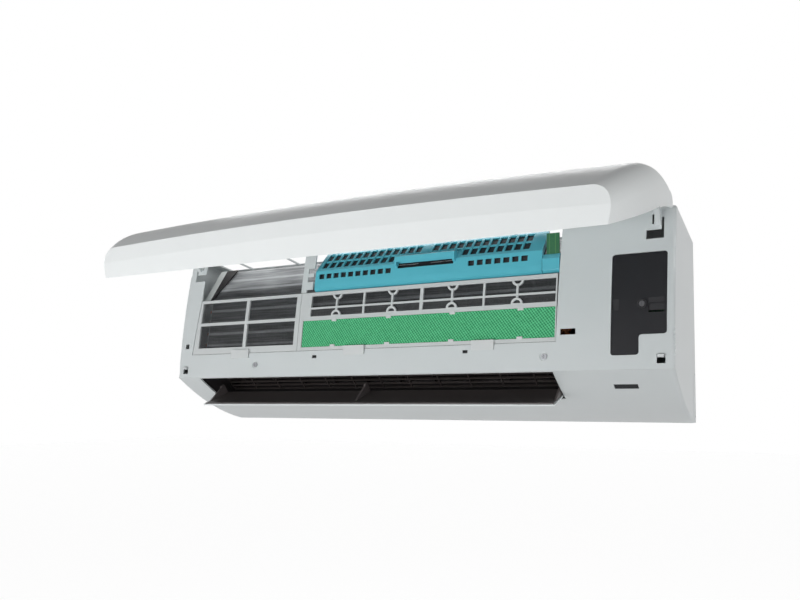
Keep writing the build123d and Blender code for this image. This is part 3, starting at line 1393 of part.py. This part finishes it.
with BuildPart() as front_panel:
    panel_block(panel_outer.sketch)
    panel_outline(0, 60)
    fillet(panel_rim(front_panel), panel_side_round)
    add(panel_core.part, mode=Mode.SUBTRACT)
    # the tapered ends stand clear of the casing when the panel is shut
    for start in (-half - 1, panel_narrow - 4):
        with BuildSketch(panel_at(start)):
            Polygon(*[shift((deep, high), hinge, -1) for deep, high in end_seat], align=None)
        extrude(amount=half - panel_narrow + 5, mode=Mode.SUBTRACT)
    # the rim is straight in plan, though the face is crowned
    with BuildSketch(panel_at(-half - 1)):
        Polygon(*straight_rim, align=None)
    extrude(amount=unit_width + 2, mode=Mode.SUBTRACT)
    # pins that turn in the casing's lugs
    for side in (1, -1):
        inside = hinge_lug - 1.5
        with BuildSketch(panel_at(side * (half - panel_wall / 2))):
            Circle(panel_pin)
        extrude(amount=-side * (half - panel_wall / 2 - inside))
finish(front_panel, "front_panel")
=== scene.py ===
from math import pi, radians

import bpy
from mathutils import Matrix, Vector


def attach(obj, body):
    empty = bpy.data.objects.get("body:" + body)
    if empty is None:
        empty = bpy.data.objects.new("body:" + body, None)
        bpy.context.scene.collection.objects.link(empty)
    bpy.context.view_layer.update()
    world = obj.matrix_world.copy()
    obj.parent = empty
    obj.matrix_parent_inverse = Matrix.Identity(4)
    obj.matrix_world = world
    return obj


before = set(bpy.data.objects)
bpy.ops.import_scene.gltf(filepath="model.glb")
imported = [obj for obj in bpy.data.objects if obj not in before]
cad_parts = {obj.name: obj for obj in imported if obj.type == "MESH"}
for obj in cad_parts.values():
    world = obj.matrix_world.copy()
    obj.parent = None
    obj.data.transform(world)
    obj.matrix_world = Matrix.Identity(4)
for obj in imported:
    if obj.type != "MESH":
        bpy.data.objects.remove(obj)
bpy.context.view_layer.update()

# Mounting plate
# Pressed sheet of galvanised steel, screwed to the wall; the whole unit hangs on its hooks.
# The zinc shows soft grey spangles and the fine lines of the rolled sheet.


class Tone:
    """A value or colour inside a finish, which takes plain arithmetic."""

    def __init__(self, finish, socket):
        self.finish = finish
        self.socket = socket

    def sum(self, kind, *values):
        inputs = {i: value for i, value in enumerate(values)}
        return self.finish.node("ShaderNodeMath", {"operation": kind}, inputs)

    def __add__(self, other):
        return self.sum("ADD", self, other)

    __radd__ = __add__

    def __sub__(self, other):
        return self.sum("SUBTRACT", self, other)

    def __rsub__(self, other):
        return self.sum("SUBTRACT", other, self)

    def __mul__(self, other):
        return self.sum("MULTIPLY", self, other)

    def over(self, level):
        return self.sum("GREATER_THAN", self, level)

    def wave(self):
        return self.sum("SINE", self)

    def size(self):
        return self.sum("ABSOLUTE", self)

    def between(self, low, high):
        return self.finish.node(
            "ShaderNodeMapRange",
            {"interpolation_type": "SMOOTHSTEP"},
            {"Value": self, "From Min": low, "From Max": high},
        )


class Finish:
    """One moulded, pressed or woven finish: a material with its colour, gloss and grain."""

    def __init__(self, name):
        self.material = bpy.data.materials.new(name)
        self.material.use_nodes = True
        self.nodes = self.material.node_tree.nodes
        self.links = self.material.node_tree.links
        self.shader = self.nodes["Principled BSDF"]
        self.at = self.node("ShaderNodeTexCoord", out="Object")

    def put(self, socket, value):
        if isinstance(value, Tone):
            self.links.new(value.socket, socket)
        elif isinstance(value, (tuple, list)) and len(value) == 3 and socket.type == "RGBA":
            socket.default_value = (*value, 1.0)
        else:
            socket.default_value = value

    def node(self, kind, settings=None, inputs=None, out=0):
        made = self.nodes.new(kind)
        for name, value in (settings or {}).items():
            setattr(made, name, value)
        for name, value in (inputs or {}).items():
            self.put(made.inputs[name], value)
        return Tone(self, made.outputs[out])

    def speckle(self, scale, detail=2.0, stretch=(1.0, 1.0, 1.0)):
        drawn = self.node("ShaderNodeMapping", None, {"Vector": self.at, "Scale": stretch})
        inputs = {"Vector": drawn, "Scale": scale, "Detail": detail}
        return self.node("ShaderNodeTexNoise", None, inputs)

    def axis(self, letter):
        return self.node("ShaderNodeSeparateXYZ", None, {"Vector": self.at}, letter)

    def mixed(self, share, first, second):
        return self.node("ShaderNodeMix", {"data_type": "RGBA"}, {0: share, 6: first, 7: second}, 2)

    def bumps(self, height, depth, strength=1.0):
        inputs = {"Height": height, "Distance": depth, "Strength": strength}
        return self.node("ShaderNodeBump", None, inputs)

    def surface(self, **values):
        for name, value in values.items():
            self.put(self.shader.inputs[name.replace("_", " ")], value)

    def wear(self, *nodes):
        for name in nodes:
            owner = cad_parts[name]
            if not owner.material_slots:
                owner.data.materials.append(self.material)
            for place in owner.material_slots:
                place.material = self.material


def tint(red, green, blue):
    """A colour given in the 0 to 255 steps of a screen, as the light it stands for."""
    def straight(level):
        share = level / 255
        return share / 12.92 if share <= 0.04045 else ((share + 0.055) / 1.055) ** 2.4
    return (straight(red), straight(green), straight(blue))


spangles_per_metre = 90.0
zinc = Finish("galvanised_sheet")
spangle_inputs = {"Vector": zinc.at, "Scale": spangles_per_metre}
spangle = zinc.node("ShaderNodeTexVoronoi", None, spangle_inputs, "Color")
spangle_shade = zinc.node("ShaderNodeSeparateColor", None, {"Color": spangle})
rolled = zinc.speckle(40.0, 3.0, (0.4, 6.0, 18.0))
sheet_shade = spangle_shade * 0.6 + rolled * 0.4
zinc.surface(
    Base_Color=zinc.mixed(sheet_shade, tint(168, 171, 173), tint(206, 208, 209)),
    Metallic=0.85,
    Roughness=0.34 + spangle_shade * 0.16,
    Normal=zinc.bumps(rolled, 0.00006),
)
zinc.wear("mounting_plate")

# Rear chassis, drain pan and bearing mount
# One deep moulding of plain off-white ABS behind the coil, with the fan's scroll in it.
# The black pan is clipped in below the coil, and the fan's bearing sits in a rubber mount.
duct_left, duct_right, duct_back = -0.3645, 0.2585, -0.032


def moulding(name, light, dark, gloss, grain=900.0, depth=0.00003, patch=14.0, coat=0.0):
    """A plain injection moulding: slow shading over the part, and a fine grain in the skin."""
    made = Finish(name)
    slow = made.speckle(patch, 2.0)
    fine = made.speckle(grain, 2.0)
    made.surface(
        Base_Color=made.mixed(slow * 0.7 + fine * 0.3, dark, light),
        Roughness=gloss - 0.06 + slow * 0.05 + fine * 0.08,
        Normal=made.bumps(fine, depth),
        Coat_Weight=coat,
    )
    return made


def black_inside(made, left, right, back):
    """Part of a pale moulding that is coloured black: all in front of a depth, between two ends."""
    across, deep = made.axis("X"), made.axis("Y")
    inside = across.over(left) * (right - across).over(0.0) * (back - deep).over(0.0)
    pale = made.shader.inputs["Base Color"].links[0].from_socket
    duct_black = made.mixed(made.speckle(40.0), tint(30, 28, 29), tint(40, 37, 38))
    made.surface(Base_Color=made.mixed(inside, Tone(made, pale), duct_black))


chassis_light, chassis_dark = tint(216, 219, 218), tint(203, 207, 206)
chassis = moulding("chassis_abs", chassis_light, chassis_dark, 0.55, 700.0, 0.00005)
black_inside(chassis, duct_left, duct_right, duct_back)
chassis.wear("rear_chassis")
mount_light, mount_dark = tint(70, 70, 71), tint(52, 52, 53)
mount = moulding("bearing_mount_rubber", mount_light, mount_dark, 0.7, 500.0, 0.00006)
mount.wear("bearing_mount")
pan = moulding("drain_pan_abs", tint(46, 46, 48), tint(34, 34, 36), 0.5, 700.0, 0.00005)
pan.wear("drain_pan")
rubber = moulding("bearing_rubber", tint(44, 44, 45), tint(30, 30, 31), 0.75, 500.0, 0.00006)
rubber.wear("drain_cap", "fan_bearing")

# Coil
# Thin aluminium fins, pressed on copper hairpins at a pitch of about 1.4 mm, in three slabs.
# The fins are wavy over each row of tubes. The long bright bands and streaks across them are
# painted highlights, and the coil is painted lit and pale towards the top and shaded and dark
# below, as painted light and shade.
fin_pitch = 0.0014
row_pitch = 0.021
row_lean = 0.2
painted_light_foot, painted_light_top = 0.074, 0.096
fins = Finish("aluminium_fins")
comb = (fins.axis("X") * (2 * pi / fin_pitch)).wave() * 0.5 + 0.5
row_phase = 2 * pi / row_pitch
rows = (fins.axis("Z") * row_phase + fins.axis("Y") * (row_lean * row_phase)).wave() * 0.5 + 0.5
# Painted highlights: bright bands over the tube rows, and streaks and smears of reflected light.
painted_highlight_band = rows.between(0.8, 1.0)
painted_reflection_streak = fins.speckle(30.0, 4.0, (0.6, 5.0, 16.0)).between(0.35, 0.72)
painted_sheen_smear = fins.speckle(9.0, 3.0, (1.0, 3.0, 3.0)).between(0.3, 0.75)
ragged_height = fins.axis("Z") + fins.speckle(14.0, 2.0, (1.0, 4.0, 4.0)) * 0.02
# Painted light and shade: above this ragged height the fins are painted lit and bright, below it
# shaded and dark.
painted_light_share = ragged_height.between(painted_light_foot, painted_light_top)
shaded_coil_highlights = painted_highlight_band * 0.7 + painted_reflection_streak * 0.3
lit_coil_highlights = painted_highlight_band * 0.3 + painted_reflection_streak * 0.3 + painted_sheen_smear * 0.4
painted_shaded_fins = fins.mixed(shaded_coil_highlights, tint(22, 23, 25), tint(146, 148, 151))
painted_lit_fins = fins.mixed(lit_coil_highlights, tint(92, 94, 97), tint(218, 221, 223))
fins.surface(
    Base_Color=fins.mixed(painted_light_share, painted_shaded_fins, painted_lit_fins),
    Metallic=0.25,
    Roughness=0.42 + painted_reflection_streak * 0.2,
    Normal=fins.bumps(comb * 0.6 + rows * 0.4, 0.0003),
)
fins.wear("evaporator_lower", "evaporator_upper", "evaporator_rear")

copper = Finish("drawn_copper")
tarnish = copper.speckle(60.0, 4.0).between(0.35, 0.7)
copper.surface(
    Base_Color=copper.mixed(tarnish, tint(201, 126, 88), tint(150, 86, 58)),
    Metallic=1.0,
    Roughness=0.26 + tarnish * 0.25,
    Normal=copper.bumps(copper.speckle(260.0, 2.0), 0.00005),
)
copper.wear("hairpin_tubes", "return_bends", "suction_pipe", "liquid_pipe")
brass = Finish("turned_brass")
turning = brass.speckle(300.0, 2.0, (8.0, 1.0, 1.0))
brass.surface(
    Base_Color=brass.mixed(turning, tint(184, 150, 84), tint(214, 182, 116)),
    Metallic=1.0,
    Roughness=0.24 + turning * 0.14,
    Normal=brass.bumps(turning, 0.00003),
)
brass.wear("flare_nuts")
steel = Finish("pressed_steel")
brushed = steel.speckle(70.0, 3.0, (1.0, 5.0, 14.0))
steel.surface(
    Base_Color=steel.mixed(brushed, tint(158, 161, 164), tint(194, 196, 199)),
    Metallic=0.9,
    Roughness=0.3 + brushed * 0.18,
    Normal=steel.bumps(brushed, 0.00004),
)
steel.wear("end_plate_left", "end_plate_right", "motor_clamp")

# Cross-flow fan and its motor
# A long drum of black moulded blades on a steel shaft, driven by a resin-cast motor on the right.
fan = moulding("fan_black", tint(58, 58, 60), tint(44, 44, 46), 0.48, 600.0)
fan.wear("fan_rotor", "fan_hub")
bright = Finish("ground_steel")
ground = bright.speckle(220.0, 2.0, (10.0, 1.0, 1.0))
bright.surface(
    Base_Color=bright.mixed(ground, tint(172, 173, 175), tint(212, 213, 214)),
    Metallic=1.0,
    Roughness=0.16 + ground * 0.12,
    Normal=bright.bumps(ground, 0.00002),
)
bright.wear("fan_shaft", "motor_shaft", "motor_screws")
motor = moulding("cast_resin", tint(92, 94, 96), tint(74, 76, 78), 0.5, 400.0, 0.00008)
motor.wear("fan_motor")

# Outlet: guard, upright louvres and the bars that swing them
# All black ABS, deep inside the mouth, so that the outlet reads as a dark slot.
# The guard in front of the louvres is moulded in a slightly lighter black.
outlet = moulding("outlet_black", tint(33, 31, 31), tint(21, 19, 20), 0.42, 800.0, 0.00004)
guard = moulding("guard_black", tint(64, 58, 57), tint(46, 42, 41), 0.42, 800.0, 0.00004)
guard.wear("outlet_guard")
outlet.wear("louvre_rail", "link_bar_left", "link_bar_right")
outlet.wear(*[f"louvre_{number:02d}" for number in range(1, 11)])

# Vane
# A white skin over a dark liner, turned by the small geared motor at its right end.
skin_light, skin_dark = tint(226, 230, 231), tint(214, 219, 220)
vane = moulding("vane_skin_abs", skin_light, skin_dark, 0.32, 1200.0, 0.00002, coat=0.1)
vane.wear("vane_skin")
liner = moulding("vane_liner_abs", tint(108, 102, 102), tint(90, 84, 84), 0.4, 900.0)
liner.wear("vane_liner")
stepper = moulding("stepper_shell", tint(168, 171, 173), tint(140, 143, 146), 0.34, 300.0)
stepper.surface(Metallic=0.6)
stepper.wear("vane_motor")

# Electrical box
# A grey fire-safe moulding with a green board and a cream terminal block inside.
# The display's board and its smoked lens sit low on the front.
tracks_per_metre = 60.0
box_grey = moulding("box_abs", tint(96, 98, 99), tint(80, 82, 84), 0.5, 700.0)
box_grey.wear("control_box")
board = Finish("circuit_board")
tracks = board.node("ShaderNodeTexBrick", None, {
    "Vector": board.at, "Scale": tracks_per_metre, "Mortar Size": 0.03,
    "Color1": (0.0, 0.0, 0.0, 1.0), "Color2": (0.1, 0.1, 0.1, 1.0), "Mortar": (1.0, 1.0, 1.0, 1.0),
}, "Fac")
board_shade = tracks * 0.5 + board.speckle(500.0) * 0.2
board.surface(
    Base_Color=board.mixed(board_shade, tint(30, 94, 62), tint(94, 146, 84)),
    Roughness=0.38 + tracks * 0.2,
    Normal=board.bumps(tracks, 0.00005),
)
board.wear("circuit_board", "display_board", "socket_board")
terminal = moulding("terminal_nylon", tint(226, 219, 200), tint(208, 200, 180), 0.45, 700.0)
terminal.wear("terminal_block")
lens = moulding("smoked_lens", tint(30, 31, 34), tint(18, 19, 21), 0.42, 1200.0, 0.000005)
lens.surface(Specular_IOR_Level=0.1)
lens.wear("display_lens")

# Front casing
# The white satin ABS shell round everything, with screws sunk in the chin below the filters.
casing_light, casing_dark = tint(208, 213, 214), tint(200, 206, 207)
casing = moulding("casing_abs", casing_light, casing_dark, 0.34, 1400.0, 0.00002, coat=0.08)
casing.wear("front_casing")
screw = Finish("zinc_screw")
screw_grain = screw.speckle(800.0, 2.0)
screw.surface(
    Base_Color=screw.mixed(screw_grain, tint(118, 120, 124), tint(160, 162, 165)),
    Metallic=0.6,
    Roughness=0.4 + screw_grain * 0.15,
    Normal=screw.bumps(screw_grain, 0.00004),
)
screw.wear("casing_screws")

# Filters
# Two pale polypropylene frames slide in over the coil.
# The right one carries a strip of green bonded fibre.
frame_light, frame_dark = tint(206, 209, 209), tint(192, 196, 197)
frame_white = moulding("filter_frame_pp", frame_light, frame_dark, 0.46, 800.0, 0.00004)
frame_white.wear("left_filter_frame", "right_filter_frame")
green = Finish("green_fibre")
rise = green.axis("Z") * 1150.0
weave_a = (green.axis("X") * 1500.0 + rise).wave()
weave_b = (green.axis("X") * 950.0 - rise * 1.4).wave()
fluff = green.speckle(260.0, 3.0)
weave = (weave_a * 0.5 + weave_b * 0.3 + fluff).between(0.1, 0.9)
green.surface(
    Base_Color=green.mixed(weave, tint(40, 138, 88), tint(98, 202, 146)),
    Roughness=0.75 + fluff * 0.2,
    Normal=green.bumps(weave * 0.7 + fluff * 0.3, 0.0005),
)
green.wear("green_filter")

# Filter nets
# Fine nylon net moulded into the frames' cells, which catches the dust in front of the coil.
# Each is one thin sheet that leans back with its frame, and lets the coil show between its threads.
net_thickness = 0.0003
net_inset = 0.0034
net_steps = 6
thread_pitch = 0.0011
thin_thread, close_thread = 0.14, 0.45
unit_depth = 0.192
screws_height = 0.15
face_foot, face_height = 0.071, 0.214
face_lean, face_belly = 0.037, 0.0192
left_cells = (-0.3675, -0.1695)
right_cells = (-0.142, 0.2548)


def face_depth(height):
    """How far the casing's face has leaned back at a height, from the front."""
    share = (height - face_foot) / face_height
    return face_lean * share - face_belly * share * (1 - share)


def frame_net(name, left, right, low, high):
    """A net from one end to the other of a row of cells, drawn up step by step along the face."""
    rise = (high - low) / net_steps
    depth = face_depth(low) + net_inset - unit_depth
    foot = ((left + right) / 2, depth, low - screws_height - rise / 2)
    bpy.ops.mesh.primitive_cube_add(size=1.0, location=foot)
    net = bpy.context.active_object
    net.name = name
    net.scale = (right - left, net_thickness, rise)
    bpy.ops.object.transform_apply(location=True, rotation=False, scale=True)
    for step in range(net_steps):
        top = max(face.center.z for face in net.data.polygons)
        for group in (net.data.vertices, net.data.edges):
            group.foreach_set("select", [False] * len(group))
        for face in net.data.polygons:
            face.select = face.center.z > top - 0.00001
        bpy.ops.object.mode_set(mode="EDIT")
        bpy.ops.mesh.select_mode(type="FACE")
        lean = face_depth(low + (step + 1) * rise) - face_depth(low + step * rise)
        bpy.ops.mesh.extrude_region_move(TRANSFORM_OT_translate={"value": (0.0, lean, rise)})
        bpy.ops.object.mode_set(mode="OBJECT")
    return net


def net_finish(name, thread, light, dark):
    """Woven threads with open squares between them."""
    made = Finish(name)
    thickness = made.speckle(500.0, 2.0) * 0.1
    warp = (made.axis("X") * (pi / thread_pitch)).wave().size()
    weft = (made.axis("Z") * (pi / thread_pitch)).wave().size()
    covered = made.node("ShaderNodeMath", {"operation": "MINIMUM"}, {0: warp, 1: weft})
    made.surface(
        Base_Color=made.mixed(made.speckle(700.0), dark, light),
        Roughness=0.6 + thickness,
        Alpha=(thread - covered + thickness).over(0.0),
        Normal=made.bumps(covered, 0.0001),
    )
    return made


thin_net = net_finish("thin_net", thin_thread, tint(84, 86, 88), tint(56, 58, 60))
close_net = net_finish("close_net", close_thread, tint(84, 85, 87), tint(50, 51, 53))
for name, cells, low, high, body, net_weave in (
    ("left_net", left_cells, 0.1205, 0.1995, "left_filter", thin_net),
    ("right_net_upper", right_cells, 0.1772, 0.1985, "right_filter", thin_net),
    ("right_net_lower", right_cells, 0.1645, 0.1768, "right_filter", close_net),
):
    net = frame_net(name, *cells, low, high)
    net.data.materials.append(net_weave.material)
    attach(net, body)

# Purifier cassette
# A teal snap-on cover with rows of square holes over a grey case and its charged plates, which are
# painted near-black as painted shade in the holes.
# The socket that feeds them is moulded in the same teal.
teal_light, teal_dark = tint(93, 189, 206), tint(80, 173, 191)
teal = moulding("teal_abs", teal_light, teal_dark, 0.36, 900.0, 0.00003, coat=0.05)
teal.wear("purifier_cover", "purifier_socket")
case_grey = moulding("cassette_abs", tint(62, 62, 65), tint(46, 46, 49), 0.48, 800.0)
case_grey.wear("purifier_case")
# Painted shade: the plates are near-black so that the square holes over them read dark.
plates = moulding("plates_dark_for_painted_shade", tint(40, 40, 44), tint(26, 26, 29), 0.55, 500.0)
plates.wear("purifier_plates")

# Control cover
# A loose lid of dark grey ABS over the terminals, with a fine spark-eroded skin.
cover = moulding("cover_abs", tint(42, 42, 45), tint(33, 33, 36), 0.42, 1100.0, 0.00005)
cover.surface(Specular_IOR_Level=0.2)
cover.wear("control_cover")
black_screw = moulding("black_screw", tint(88, 88, 91), tint(60, 60, 63), 0.35, 800.0)
black_screw.surface(Metallic=0.5)
black_screw.wear("cover_screw")

# Front panel and its latches
# One crowned moulding of satin white ABS on two hinge lugs, standing open above the filters.
# Its lower corners snap onto two small latches in the casing.
panel = moulding("panel_abs", tint(244, 247, 247), tint(240, 244, 244), 0.4, 1600.0, 0.00001)
panel.surface(Specular_IOR_Level=0.2)
panel.wear("front_panel")
latch = moulding("latch_abs", tint(206, 210, 211), tint(188, 193, 194), 0.4, 900.0)
latch.wear("panel_latches")

# Floor
# A plain pale studio floor far below the unit, which hangs as it does on its wall.
# It glows only towards the eye, so that the backdrop stays white.
floor_drop = 0.9
floor_width = 24.0
floor_glow = 0.86
bpy.ops.mesh.primitive_plane_add(size=floor_width, location=(0.0, 0.0, -floor_drop))
floor = bpy.context.active_object
floor.name = "floor"
paper = Finish("studio_paper")
seen = paper.node("ShaderNodeLightPath", None, None, "Is Camera Ray")
seen = seen + paper.node("ShaderNodeLightPath", None, None, "Is Glossy Ray")
seen = seen + paper.node("ShaderNodeLightPath", None, None, "Is Transmission Ray")
seen = seen.sum("MINIMUM", seen, 1.0)
cloud = paper.speckle(3.0, 2.0)
paper.surface(
    Base_Color=paper.mixed(cloud, (0.84, 0.84, 0.84), (0.88, 0.88, 0.88)),
    Roughness=0.9,
    Emission_Color=paper.mixed(seen, (0.0, 0.0, 0.0), (floor_glow, floor_glow, floor_glow)),
    Emission_Strength=1.0,
)
floor.data.materials.append(paper.material)

# Studio light
# A broad soft lamp in front, a weaker one from the right and a slim one over the top grille.
# The room is white to the eye, and lights the unit more from below than from above.
fade_start, fade_end = -0.1, 0.45
low_room, high_room = 0.42, 0.05
world = bpy.data.worlds.new("studio")
bpy.context.scene.world = world
world.use_nodes = True
sky = world.node_tree
room = sky.nodes["Background"]
room.inputs["Color"].default_value = (1.0, 1.0, 1.0, 1.0)
way = sky.nodes.new("ShaderNodeTexCoord")
climb = sky.nodes.new("ShaderNodeSeparateXYZ")
sky.links.new(way.outputs["Generated"], climb.inputs[0])
fall = sky.nodes.new("ShaderNodeMapRange")
fall.interpolation_type = "SMOOTHSTEP"
fall.inputs["From Min"].default_value = fade_start
fall.inputs["From Max"].default_value = fade_end
fall.inputs["To Min"].default_value = low_room
fall.inputs["To Max"].default_value = high_room
sky.links.new(climb.outputs["Z"], fall.inputs["Value"])
sky.links.new(fall.outputs["Result"], room.inputs["Strength"])
bright_room = sky.nodes.new("ShaderNodeBackground")
bright_room.inputs["Color"].default_value = (1.0, 1.0, 1.0, 1.0)
bright_room.inputs["Strength"].default_value = 1.0
ray = sky.nodes.new("ShaderNodeLightPath")
direct = sky.nodes.new("ShaderNodeMath")
direct.operation = "ADD"
sky.links.new(ray.outputs["Is Camera Ray"], direct.inputs[0])
sky.links.new(ray.outputs["Is Glossy Ray"], direct.inputs[1])
clear = sky.nodes.new("ShaderNodeMath")
clear.operation = "ADD"
clear.use_clamp = True
sky.links.new(direct.outputs[0], clear.inputs[0])
sky.links.new(ray.outputs["Is Transmission Ray"], clear.inputs[1])
choice = sky.nodes.new("ShaderNodeMixShader")
sky.links.new(clear.outputs[0], choice.inputs[0])
sky.links.new(room.outputs[0], choice.inputs[1])
sky.links.new(bright_room.outputs[0], choice.inputs[2])
sky.links.new(choice.outputs[0], sky.nodes["World Output"].inputs["Surface"])


def lamp(name, place, aim, width, height, watts):
    bpy.ops.object.light_add(type="AREA", location=place)
    made = bpy.context.active_object
    made.name = name
    made.data.shape = "RECTANGLE"
    made.data.size = width
    made.data.size_y = height
    made.data.energy = watts
    away = made.location - Vector(aim)
    made.rotation_euler = away.to_track_quat("Z", "Y").to_euler()


lamp("front_lamp", (-0.4, -2.1, -0.7), (0.0, -0.1, 0.0), width=2.4, height=0.9, watts=43.0)
lamp("side_lamp", (2.6, -0.5, -0.3), (0.2, -0.1, 0.0), width=1.4, height=1.4, watts=19.0)
lamp("grille_lamp", (-0.05, -0.05, 0.32), (-0.05, -0.06, 0.0), width=0.8, height=0.12, watts=1.3)

# Camera
# It stands low and to the right of the unit, and looks slightly up under the open panel.
eye = (0.5567, -1.2148, -0.1198)
eye_turn = (radians(92.5), 0.0, radians(28.8))
bpy.ops.object.camera_add(location=eye, rotation=eye_turn)
camera = bpy.context.active_object
camera.data.lens = 35.41
camera.data.sensor_width = 36.0
camera.data.shift_x = 0.0233
camera.data.shift_y = 0.0842
camera.data.clip_start = 0.02
bpy.context.scene.camera = camera
bpy.context.scene.view_settings.view_transform = "Standard"
